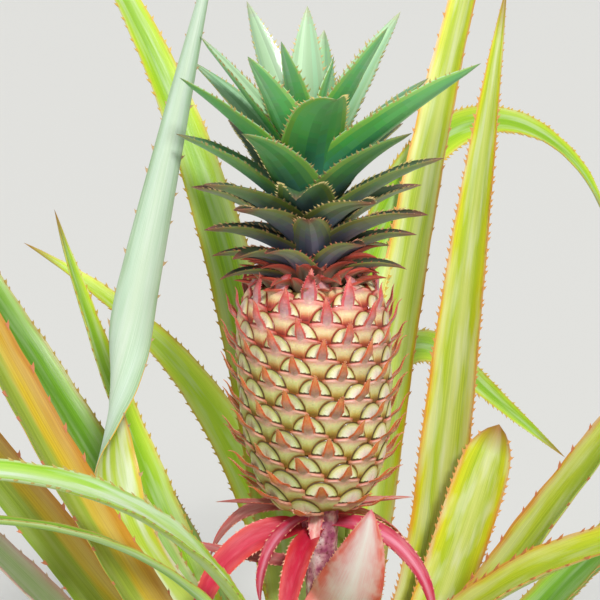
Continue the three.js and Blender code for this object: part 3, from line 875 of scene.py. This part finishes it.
def eye_places():
    """How far along the outline each eye sits, and at which azimuth."""
    rings = (OUTLINE[1:, 0] + OUTLINE[:-1, 0]) * OUTLINE_STEPS
    areas = np.append(0, np.cumsum(rings))
    share = (np.arange(EYE_COUNT) + 0.5) / EYE_COUNT
    wanted = areas[-1] * share * (1 + EYE_CROWDING * (1 - share))
    return np.interp(wanted, areas, OUTLINE_LENGTH), EYE_PHASE + EYE_TURN * np.arange(EYE_COUNT)


# Eyes ripen upwards from a height on the fruit, and on one side the unripe ones are painted darker and
# greener as shade
RIPE_FROM = 96
RIPE_SPAN = 62
SHADED_AZIMUTH = 215
SHADE_SHARE = 0.5


class Eye:
    """A place on the fruit's skin, from where x runs across it, y up it and height out of it. Its
    size scales all three, and its lower eyes are the nearest ones below it."""

    def __init__(self, length, azimuth):
        self.length = length
        self.azimuth = azimuth
        self.size = 1.0
        self.lower = []
        self.radius, self.z = rows_between(np.array([length]), OUTLINE_LENGTH, OUTLINE)[0]
        self.ripe = smooth((self.z - RIPE_FROM) / RIPE_SPAN)
        # Painted shade: the unripe eyes on one side of the fruit are darker and greener
        shade = math.cos((azimuth - SHADED_AZIMUTH) * DEG)
        self.green = SHADE_SHARE * max(0.0, shade) * (1 - self.ripe)

    def offset_of(self, other):
        """Where the middle of another eye is, on this eye's own x and y."""
        turn = (other.azimuth - self.azimuth + 180) % 360 - 180
        across = turn * DEG * (self.radius + other.radius) / 2
        return across / self.size, (other.length - self.length) / self.size

    def place(self, x, y, height):
        x, y, height = np.broadcast_arrays(x * self.size, y * self.size, height * self.size)
        length = self.length + y.ravel()
        radius, z = rows_between(length, OUTLINE_LENGTH, OUTLINE).T
        slope = rows_between(length, OUTLINE_LENGTH, OUTLINE_SLOPE)
        slope /= np.linalg.norm(slope, axis=1, keepdims=True)
        high = height.ravel()
        turn = self.azimuth + x.ravel() / self.radius / DEG
        points = polar(radius + slope[:, 1] * high, turn, z - slope[:, 0] * high)
        return points.reshape(*x.shape, 3)

    def axes(self):
        """Straight axes at the eye's middle, across it, up it and out of it."""
        middle, side, up = self.place(np.array([0.0, 0.5, 0.0]), np.array([0.0, 0.0, 0.5]), 0.0)
        side = side - middle
        side /= np.linalg.norm(side)
        up = up - middle
        up -= side * (side @ up)
        up /= np.linalg.norm(up)
        return np.stack([side, up, np.cross(side, up)])


# Shape of one eye of ordinary size, measured from its middle
EYE_GAP = 20.4
SKIRT_DEPTH = 3
RIDGE_DROP = 4.0
RIDGE_TILT = -0.13
RIDGE_SAG = 1.5
RIDGE_HEIGHT = 3.5
RIDGE_END_HEIGHT = 2.0
DOME_HALF_WIDTH = 11.2
DOME_RISE = 11.6
DOME_FALL = 4.5
DOME_HEIGHT = 2.8
DOME_RIM_HEIGHT = 1.6
PLATE_HALF_WIDTH = 12.8
PLATE_DEPTH = 15.5
PLATE_TUCK = 1.3
PLATE_FOOT_HEIGHT = 1.0
SPIKE_LENGTH = 25
SPIKE_HALF_WIDTH = 4.6
SPIKE_TIP_HALF_WIDTH = 0.02
SPIKE_ROOT = 3.4
SPIKE_KEEL = 0.4


def ridge_at(x):
    """The upper edge of an eye's bract: it tilts a little and sags towards its ends."""
    share = np.clip(np.abs(x) / PLATE_HALF_WIDTH, 0, 1)
    return -RIDGE_DROP + RIDGE_TILT * x - RIDGE_SAG * share**2


def arch_at(x):
    """The outline of an eye's sepals above its ridge."""
    share = np.clip(np.abs(x) / DOME_HALF_WIDTH, 0, 1)
    arch = -RIDGE_DROP + RIDGE_TILT * x + DOME_RISE * (1 - share**2) ** 0.62
    return np.where(share < 1, arch, -99.0)


def plate_foot_at(x, eye):
    """The lower edge of an eye's bract: it tucks under the sepals of the eyes below."""
    foot = np.full_like(x, -RIDGE_DROP - PLATE_DEPTH)
    for other in eye.lower:
        across, up = eye.offset_of(other)
        scale = other.size / eye.size
        foot = np.maximum(foot, up + scale * arch_at((x - across) / scale))
    return np.minimum(foot - PLATE_TUCK, ridge_at(x) - 0.8)


def freckled(colours, rng, deep):
    """Colours with a small change of lightness for the whole piece and for each face."""
    return colours * rng.uniform(0.95, 1.04) + rng.normal(0, deep, (len(colours), 1))


# Sepals: places round the dome, closer together on its arched side, and the sizes of its rings
DOME_ARCH_TURNS = np.linspace(0, math.pi, 34)
DOME_TURNS = np.append(DOME_ARCH_TURNS, np.linspace(math.pi, 2 * math.pi, 12)[1:-1])
DOME_RINGS = np.array([0.14, 0.3, 0.45, 0.58, 0.69, 0.78, 0.86, 0.91, 0.935, 0.97, 1.0])[:, None]
SEPAL_FAIR = ((0.3, "#f8f4e6"), (0.6, "#f2efd2"), (0.78, "#e4e2ac"), (0.9, "#b4a858"))
# Painted shade: the darker, greener sepal colours on one side of the fruit
SEPAL_SHADED = ((0.3, "#cfdca0"), (0.7, "#b4c878"), (0.9, "#8a9440"))


def sepal_colours(eye, out, above):
    """Colours of the dome by how far out they are, with a dark line round it, painted shade in the groove at
    its rim, and one along the ridge, a painted shadow of the ridge's lip.
    """
    # Painted shade on one side of the fruit
    pale = blended(ramp(out, *SEPAL_FAIR), ramp(out, *SEPAL_SHADED), eye.green)
    pale = blended(pale, colour_of("#f0c8a0"), 0.3 * eye.ripe * smooth(out / 0.9))
    # Painted shade: the groove round the dome, and the shadow that the ridge's lip casts on the sepals
    line = np.maximum(smooth((out - 0.915) / 0.02), smooth((1.5 - above) / 0.3) * (out > 0.35))
    return blended(pale, between("#4c340e", "#8a301c", eye.ripe), line)


def add_sepals(sepals, eye, rng):
    count = len(DOME_TURNS)
    edge = DOME_HALF_WIDTH * np.cos(DOME_TURNS)
    arch = arch_at(0.999 * edge) + RIDGE_DROP - RIDGE_TILT * edge
    rise = np.where(np.sin(DOME_TURNS) >= 0, arch, DOME_FALL * np.sin(DOME_TURNS))
    x = DOME_RINGS * edge
    above = DOME_RINGS * rise
    y = -RIDGE_DROP + RIDGE_TILT * x + above
    crease = 0.45 * np.exp(-((x / 0.7) ** 2)) * (1 - DOME_RINGS**2)
    height = DOME_HEIGHT - (DOME_HEIGHT - DOME_RIM_HEIGHT) * DOME_RINGS**3
    height = height - 0.5 * smooth((DOME_RINGS - 0.93) / 0.07) - crease
    middle = eye.place(0.0, -RIDGE_DROP, DOME_HEIGHT - 0.4)
    top = eye.place(x, y, height)
    skirt = eye.place(x[-1], y[-1], -SKIRT_DEPTH)
    points = np.vstack([middle, top.reshape(-1, 3), skirt])
    j = np.arange(count)
    fan = np.stack([np.zeros(count, int), 1 + j, 1 + (j + 1) % count], -1)
    wall = grid_faces(len(DOME_RINGS) + 1, count, True) + 1
    base = (1 + len(DOME_RINGS) * count + j)[None, ::-1]
    faces = [fan, wall, base]

    rings = np.append(np.append(0, np.repeat(DOME_RINGS, count)), np.full(count, 1.1))
    heights = np.append(np.append(0, above), np.zeros(count))
    colours = sepal_colours(eye, face_means(rings, faces), face_means(heights, faces))
    sepals.add_coloured(points, faces, freckled(colours, rng, 0.01))


# Plates: rows from behind the ridge to the foot, and ramps by how far below the ridge a face is, or
# for the painted shade on one side of the fruit by its row
PLATE_ROWS = np.append([-0.16, -0.1, -0.05, 0.0, 0.05, 0.1, 0.16], np.linspace(0.23, 1.0, 13))[:, None]
PLATE_COLUMNS = 23
# In both ramps, the stops below 0 lie behind the ridge where the plate dives under the sepals, and darken
# into painted shade in that crease
PLATE_FAIR = (
    (-1.0, "#8a3c28"), (-0.3, "#ec9c8c"), (0.3, "#f8c4b6"), (1.3, "#f4c8b6"), (2.0, "#dca888"),
    (3.0, "#dcc298"), (5.5, "#dcd49c"), (8.5, "#d4ca84"), (10.5, "#c6ac54"), (12.5, "#a07a2c"),
    (15.0, "#6c4614"),
)
PLATE_ROSY = (
    (-1.0, "#982c26"), (-0.3, "#dc6c6a"), (0.3, "#f0988e"), (1.3, "#ec9888"), (2.0, "#dc8c78"),
    (3.0, "#e2b48e"), (5.5, "#ecd4a4"), (8.0, "#e4c08c"), (10.0, "#d48c5c"), (12.0, "#b44c34"),
    (14.0, "#84261c"),
)
# Painted shade: the darker, greener plate colours on one side of the fruit
PLATE_SHADED = ((0.1, "#c89878"), (0.4, "#a8b85c"), (0.8, "#6c6420"))


def plate_colours(eye, row, x, side, sunk, to_foot):
    """Colours by row and side, by how far below the ridge a face is and how far above the foot."""
    colours = blended(ramp(sunk, *PLATE_FAIR), ramp(sunk, *PLATE_ROSY), eye.ripe)
    # Painted shade on one side of the fruit
    colours = blended(colours, ramp(row, *PLATE_SHADED), eye.green)
    margin = smooth((1.7 - to_foot) / 1.5) * smooth((sunk - 1.5) / 1.5)
    colours = blended(colours, between("#8a5c1c", "#b03c28", eye.ripe), 0.9 * margin)
    root = np.exp(-((x / 4.2) ** 4)) * smooth((5.2 - sunk) / 3.5)
    colours = blended(colours, between("#cf9f8a", "#d09890", eye.ripe), 0.9 * root)
    ends = smooth((side - 0.72) / 0.25) * smooth((2.6 - sunk) / 1.5)
    return blended(colours, between("#b8683c", "#b84034", eye.ripe), 0.7 * ends)


def add_plate(plates, eye, rng):
    """The part of an eye's bract that lies on it: from the ridge down to a point between the sepals
    of the eyes below."""
    u = np.linspace(-1, 1, PLATE_COLUMNS)
    side = np.abs(u)
    ridge = ridge_at(u * PLATE_HALF_WIDTH)
    foot = plate_foot_at(u * PLATE_HALF_WIDTH, eye)
    down = np.clip(PLATE_ROWS, 0, 1)
    y = mix(ridge, foot, down) - np.minimum(PLATE_ROWS, 0) * 8
    x = np.broadcast_to(u * PLATE_HALF_WIDTH, y.shape)
    crest = mix(RIDGE_HEIGHT, RIDGE_END_HEIGHT, side**1.5)
    lip = smooth((side - 0.26) / 0.12) * (1 - side**4)
    height = mix(crest, PLATE_FOOT_HEIGHT, down**1.3)
    height = height + 0.8 * np.exp(-((ridge - y - 0.5) ** 2)) * lip
    height = height + 0.3 * np.exp(-((x / 1.1) ** 2)) * np.sin(math.pi * down)
    height = height + np.minimum(PLATE_ROWS + 0.05, 0) * 28

    corners = np.arange(y.size).reshape(y.shape)
    loop = np.concatenate([corners[0], corners[1:, -1], corners[-1, -2::-1], corners[-2:0:-1, 0]])
    skirt = eye.place(x.ravel()[loop], y.ravel()[loop], -SKIRT_DEPTH)
    points = np.vstack([eye.place(x, y, height).reshape(-1, 3), skirt])
    skirt_loop = y.size + np.arange(len(loop))
    wall = np.stack([loop, np.roll(loop, -1), np.roll(skirt_loop, -1), skirt_loop], -1)
    faces = [grid_faces(*y.shape, False), wall, skirt_loop[None, :]]

    def per_face(values):
        spread = np.broadcast_to(values, y.shape).ravel()
        return face_means(np.append(spread, spread[loop]), faces)

    measures = (per_face(values) for values in (PLATE_ROWS, x, side, ridge - y, y - foot - PLATE_TUCK))
    plates.add_coloured(points, faces, freckled(plate_colours(eye, *measures), rng, 0.012))


# Spikes: their meshes, how high on the fruit they get broader, and ramps from foot to tip
SPIKE_ROWS = 18
SPIKE_COLUMNS = 7
SPIKE_TEETH = 9
BROADER_FROM = 138
SPIKE_AMBER = ((0.0, "#d8b498"), (0.22, "#c49c8e"), (0.45, "#c68a70"), (0.68, "#d67840"), (1.0, "#eeae78"))
SPIKE_ROSY = ((0.0, "#deb09c"), (0.22, "#c8969a"), (0.45, "#c67c80"), (0.7, "#d05450"), (1.0, "#f0a890"))


def spike_colours(eye, t, away):
    """Colours by how far along the spike and away from its middle a face is."""
    colours = blended(ramp(t, *SPIKE_AMBER), ramp(t, *SPIKE_ROSY), eye.ripe)
    edge = smooth((away - 0.5) / 0.4) * (1 - 0.4 * smooth((0.2 - t) / 0.2))
    return blended(colours, between("#e0602c", "#d84448", eye.ripe), 0.75 * edge)


def add_spike(spikes, teeth, eye, rng):
    """The free end of an eye's bract: it leans out, straightens and hooks outwards at its tip."""
    grow = rng.uniform(0.9, 1.12)
    t = np.linspace(0, 1, SPIKE_ROWS + 1)
    swell = rng.uniform(22, 34) * np.sin(math.pi * smooth(t / 0.6))
    hook = rng.uniform(8, 48) * smooth((t - 0.72) / 0.28)
    lean = (24 + swell - 8 * smooth(t / 0.5) + hook) * DEG
    drift = rng.uniform(-9, 9) * DEG * (0.4 + t)
    along = np.stack([np.sin(drift) * np.cos(lean), np.cos(drift) * np.cos(lean), np.sin(lean)], -1)
    step = SPIKE_LENGTH * grow / SPIKE_ROWS
    line = np.vstack([np.zeros(3), np.cumsum((along[1:] + along[:-1]) / 2, 0) * step])
    line = line + np.array([0, -RIDGE_DROP - SPIKE_ROOT, RIDGE_HEIGHT - 0.9])
    across = np.stack([np.cos(drift), -np.sin(drift), np.zeros_like(t)], -1)
    face = np.cross(across, along)
    broader = 1 + 0.3 * smooth((eye.z - BROADER_FROM) / 16)
    half = SPIKE_HALF_WIDTH * grow * broader * mix(0.85, 1, smooth(t / 0.3)) * (1 - t**1.9)
    half[-1] = SPIKE_TIP_HALF_WIDTH
    u = np.linspace(-1, 1, SPIKE_COLUMNS)[None, :]
    bow = -(SPIKE_KEEL * half[:, None]) * np.abs(u) ** 1.5
    thick = (0.9 - 0.5 * t)[:, None] * (1 - 0.6 * u**2)
    front = line[:, None] + across[:, None] * (u * half[:, None])[..., None] + face[:, None] * bow[..., None]
    back = front - face[:, None] * thick[..., None]
    ring = np.concatenate([front, back[:, ::-1]], 1)

    around = 2 * SPIKE_COLUMNS
    turn = np.arange(SPIKE_COLUMNS - 1)
    cap = np.stack([turn, around - 1 - turn, around - 2 - turn, turn + 1], -1)
    wall = grid_faces(SPIKE_ROWS + 1, around, True)[:, ::-1]
    faces = [cap, wall, (cap + SPIKE_ROWS * around)[:, ::-1]]
    t_face = face_means(np.repeat(t, around), faces)
    away = face_means(np.tile(np.abs(np.append(u, u)), SPIKE_ROWS + 1), faces)
    colours = freckled(spike_colours(eye, t_face, away), rng, 0.018)
    axes = eye.axes() * eye.size
    middle = eye.place(0.0, 0.0, 0.0)
    spikes.add_coloured(middle + ring.reshape(-1, 3) @ axes, faces, colours)

    finish = teeth.deal_one(between("#e8b49a", "#e08a84", eye.ripe))
    for side in (-1, 1):
        at = np.linspace(0.3, 0.93, SPIKE_TEETH) + rng.uniform(-0.02, 0.02, SPIKE_TEETH)
        margin = line + across * (side * half)[:, None] - face * (SPIKE_KEEL * half + 0.2)[:, None]
        root = middle + rows_between(at, t, margin) @ axes
        lines = [rows_between(at, t, v) @ axes for v in (along, across * side, face)]
        sizes = 1.05 * (1.1 - 0.5 * at) * grow
        add_thorns(teeth, root, *lines, sizes, np.full(SPIKE_TEETH, side > 0), finish)


# The nearest eyes below one come these many before it on the spiral. Eyes below the least height or
# on a ring of less than the least radius don't show, and the lowest that show have no spike.
LOWER_STEPS = (8, 13, 21)
LEAST_EYE_HEIGHT = 1
LEAST_EYE_RADIUS = 27
LEAST_SPIKE_HEIGHT = 2


def fruit_eyes():
    """All eyes that show, each with its number and the size that its nearest neighbours leave it."""
    eyes = [Eye(length, azimuth) for length, azimuth in zip(*eye_places())]
    at = np.array([eye.place(0.0, 0.0, 0.0) for eye in eyes])
    gaps = np.sort(np.linalg.norm(at[:, None] - at[None], axis=2), 1)[:, 1:5].mean(1)
    for k, (eye, gap) in enumerate(zip(eyes, gaps)):
        eye.size = gap / EYE_GAP
        eye.lower = [eyes[k - step] for step in LOWER_STEPS if k >= step]
    shown = [eye.z > LEAST_EYE_HEIGHT and eye.radius > LEAST_EYE_RADIUS for eye in eyes]
    return [(k, eye) for k, eye in enumerate(eyes) if shown[k]]


def fruit():
    sepals = Layer("fruit_sepals", "sepal", 0.35, 1.2, 0.1, 0.2)
    plates = Layer("fruit_eye_bracts", "eye_bract", 0.5, 1.0, 0.12)
    spikes = Layer("fruit_spikes", "spike", 0.5, 0.8, 0.12)
    teeth = Layer("fruit_spike_teeth", "spike_tooth", 0.5, 1.0, 0.02)
    core = Layer("fruit_core", "fruit_core", 0.7, 2.0, 0.4)
    for k, eye in fruit_eyes():
        rng = np.random.default_rng(EYE_SEED + k)
        add_sepals(sepals, eye, rng)
        add_plate(plates, eye, rng)
        if eye.z > LEAST_SPIKE_HEIGHT:
            add_spike(spikes, teeth, eye, rng)
    core.deal_one(colour_of("#6c5420"))
    z = np.linspace(0, FRUIT_HEIGHT, FRUIT_CORE_ROWS)
    add_lathed(core, z, fruit_radius_at(z)[:, None] - CORE_INSET, FRUIT_CORE_SIDES)
    for layer in (sepals, plates, spikes, teeth, core):
        layer.set_on_stalk("fruit")


# Crown: leaves on one golden spiral round a short core, whose profile is heights and radii
CROWN_CORE_PROFILE = ((0, 24), (0.4 * CROWN_CORE_HEIGHT, 14), (CROWN_CORE_HEIGHT, 3))
CROWN_CORE_SINK = 6


def crown_leaf(k):
    t = k / (CROWN_LEAVES - 1)
    azimuth = CROWN_PHASE + GOLDEN * k
    z = FRUIT_HEIGHT + 3 + CROWN_FOOT_SPAN * t**1.35
    return dict(
        PLAIN,
        foot=polar(mix(CROWN_CORE_RADIUS, 6, t) - 3, azimuth, z),
        azimuth=azimuth,
        rise=30 + 19 * t + 38 * t**5,
        bend=2 + 52 * (1 - t),
        bend_power=1.4,
        length=56 + 68 * smooth(t / 0.85) - 20 * t**8,
        half_width=9 + 38 * t - 31 * t * t,
        neck=0.9, widest=0.2, taper=1.7 + 0.5 * t, channel=0.6 - 0.2 * t,
        flat=0.0, ripple=0.35, flesh=1.5, edge=0.5, age=t,
    )


# Crown leaves with a habit of their own, by their order from the fruit. Turn is added to the azimuth.
CROWN_SHAPED = {
    3: dict(turn=-17, rise=48, length=64),
    6: dict(turn=-8, rise=46, length=60),
    11: dict(turn=-10, rise=52),
    13: dict(length=68),
    14: dict(length=88),
    16: dict(turn=-13, rise=42),
    19: dict(rise=36),
    21: dict(rise=42, length=86),
    23: dict(rise=50, length=112),
    24: dict(rise=44, bend=60, length=95),
    26: dict(rise=46, length=104),
    27: dict(rise=44, length=106),
    29: dict(turn=9, rise=50, bend=30, length=100),
    30: dict(rise=53),
    31: dict(rise=54, length=132),
    32: dict(turn=-2, rise=68, bend=64, length=117, half_width=23, taper=3),
    33: dict(turn=15, rise=64, bend=5, length=125),
    34: dict(rise=50, length=118),
    35: dict(rise=38, bend=8, roll=-24, length=147),
    36: dict(turn=15, rise=66, bend=2, length=138),
    37: dict(turn=-18, rise=62, bend=16, length=108),
    38: dict(rise=57, bend=5, roll=18, length=133),
    39: dict(rise=55, bend=3, length=118),
    40: dict(turn=15, rise=56, bend=5, length=119),
    42: dict(rise=80, length=84),
    43: dict(rise=76, length=70),
}


def shaped_crown_leaf(k):
    shaped = {**crown_leaf(k), **CROWN_SHAPED.get(k, {})}
    shaped["azimuth"] += shaped.pop("turn", 0)
    return shaped


# Small red scale leaves where the crown meets the fruit. Their age is less than that of any other
# crown leaf, which gives them their colours.
SCALE_LEAVES = 46
SCALE_TURN = 60
SCALE_AGE = -0.12


def scale_leaf(k):
    t = k / (SCALE_LEAVES - 1)
    azimuth = CROWN_PHASE + SCALE_TURN + GOLDEN * k
    return dict(
        crown_leaf(0),
        foot=polar(mix(33, 16, t), azimuth, FRUIT_HEIGHT + mix(-4, 6, t)),
        azimuth=azimuth,
        rise=mix(40, 46, t) + 14 * math.sin(k * 2.1),
        bend=mix(20, 66, t),
        length=mix(22, 38, t) + 4 * math.sin(k * 1.3),
        half_width=mix(5, 7.5, t),
        age=SCALE_AGE,
    )


def crown_colours(leaf, across, along, lower, rng):
    """Outer faces are slate at the foot of old leaves and greener outwards and upwards. Inner faces
    are painted dark below, as shade, and silvery at the top of the crown."""
    age = leaf["age"]
    away = np.abs(across)
    young = smooth((age - 0.35) / 0.45)
    scale = smooth(-age / 0.1)
    body = smooth((along + 0.5 * away - mix(0.42, 0.2, young)) / 0.5)
    outer = blended(between("#74788e", "#4a9478", young), between("#7c8868", "#52ac50", young), body)
    outer = blended(outer, between("#9c9c44", "#94c444", young), smooth((away - 0.62) / 0.4) * 0.9)
    # Pale bloom over the upper outer faces, partly painted sheen
    bloom_and_sheen = smooth((along - 0.3) / 0.5) * (0.3 + 0.35 * smooth((age - 0.72) / 0.2))
    outer = blended(outer, colour_of("#c4dccb"), bloom_and_sheen * (0.5 + 0.5 * smooth((0.5 - away) / 0.5)))
    silver = smooth((age - 0.55) / 0.3) * 0.75 * smooth(along / 0.5 + 0.2)
    # Painted shade: the inner faces of the low, old leaves are dark
    inner = blended(between("#3a4430", "#6fae78", young), colour_of("#cbe2bc"), silver)
    colours = np.where(lower[:, None], outer, inner)
    red = smooth((along - mix(0.72, 0.86, young)) / 0.25) * mix(0.75, 0.5, young)
    colours = blended(colours, between("#a85a52", "#c07a5c", young), red)
    tinted = between("#a89478", "#dc5a4c", smooth(along * 1.2 + 1.1 * away - 0.75)[:, None])
    colours = blended(colours, tinted, 0.9 * scale)
    lanes = 2 * CROWN_COLUMNS
    lane = np.clip(((across + 1) * CROWN_COLUMNS).astype(int), 0, lanes)
    streak = rng.normal(0, 0.03, lanes + 1)[lane]
    return colours * rng.uniform(0.94, 1.05) + streak[:, None]


def crown():
    leaves = Layer("crown_leaves", "crown", 0.42, 1.5, 0.1, 0.1)
    thorns = Layer("crown_thorns", "crown_thorn", 0.5, 1.0, 0.02)
    core = Layer("crown_core", "crown_core", 0.7, 2.0, 0.4)
    habits = [scale_leaf(k) for k in range(SCALE_LEAVES)]
    habits += [shaped_crown_leaf(k) for k in range(CROWN_LEAVES)]
    for k, leaf in enumerate(habits):
        rng = np.random.default_rng(CROWN_SEED + k)
        rows = max(14, int(leaf["length"] / CROWN_ROW))
        points, faces, across, along = blade_grid(leaf, rows, CROWN_COLUMNS)
        across = face_means(across, faces)
        along = face_means(along, faces)
        colours = crown_colours(leaf, across, along, lower_faces(rows, CROWN_COLUMNS), rng)
        leaves.add_coloured(points, faces, colours)
        thorn = between("#c8705a", "#d8c07a", smooth(leaf["age"] * 2)) * rng.uniform(0.9, 1.05)
        finish = thorns.deal_one(thorn)
        margin_thorns(thorns, leaf, pitch=4.4, size=2.3, finish=finish, rng=rng, last=0.96, stout=0.55)
    core.deal_one(colour_of("#3c3a34"))
    base = FRUIT_HEIGHT - CROWN_CORE_SINK
    z = np.linspace(base, base + CROWN_CORE_HEIGHT, CROWN_CORE_ROWS)
    radius = np.interp(z - base, *zip(*CROWN_CORE_PROFILE))
    add_lathed(core, z, radius[:, None], CROWN_CORE_SIDES)
    for layer in (leaves, thorns, core):
        layer.set_on_stalk("crown")


# Floor, light and camera. A light's row is its name, place in metres, angle and strength.
FLOOR_SIZE = 160
FLOOR_COLOUR = "#e6e5e0"
SKY_COLOUR = "#f2f4f6"
SKY_STRENGTH = 0.52
LIGHTS = (
    ("key", (0.7, -2.2, 2.5), 10, 2.3),
    ("fill", (-2.4, -2.0, 1.2), 40, 0.55),
)
CAMERA_TARGET = np.array([-20.0, 0.0, 583.0])
CAMERA_DISTANCE = 1100
CAMERA_ELEVATION = 12
CAMERA_VIEW = 22
CAMERA_REACH = 200


def aim(thing, place, target):
    thing.location = place
    thing.rotation_euler = Vector(target - place).to_track_quat("-Z", "Y").to_euler()


def studio():
    bpy.ops.mesh.primitive_plane_add(size=FLOOR_SIZE)
    floor = bpy.context.object
    floor.name = "floor"
    floor.data.materials.append(plain_material("floor_paper", 0.9, FLOOR_COLOUR))

    world = bpy.data.worlds.new("studio")
    bpy.context.scene.world = world
    world.use_nodes = True
    background = world.node_tree.nodes["Background"]
    background.inputs["Color"].default_value = paint(SKY_COLOUR)
    background.inputs["Strength"].default_value = SKY_STRENGTH

    target = CAMERA_TARGET * MM
    for name, place, angle, power in LIGHTS:
        light = new_object(name, bpy.data.lights.new(name, "SUN"))
        light.data.angle = angle * DEG
        light.data.energy = power
        aim(light, np.array(place), target)

    camera = new_object("camera", bpy.data.cameras.new("camera"))
    camera.data.angle = CAMERA_VIEW * DEG
    camera.data.clip_end = CAMERA_REACH
    rise = CAMERA_ELEVATION * DEG
    away = CAMERA_DISTANCE * np.array([0, -math.cos(rise), math.sin(rise)])
    aim(camera, target + away * MM, target)
    bpy.context.scene.camera = camera
    bpy.context.scene.view_settings.view_transform = "Standard"


stem()
rosette()
fruit_stalk()
stalk_bracts()
fruit()
crown()
studio()
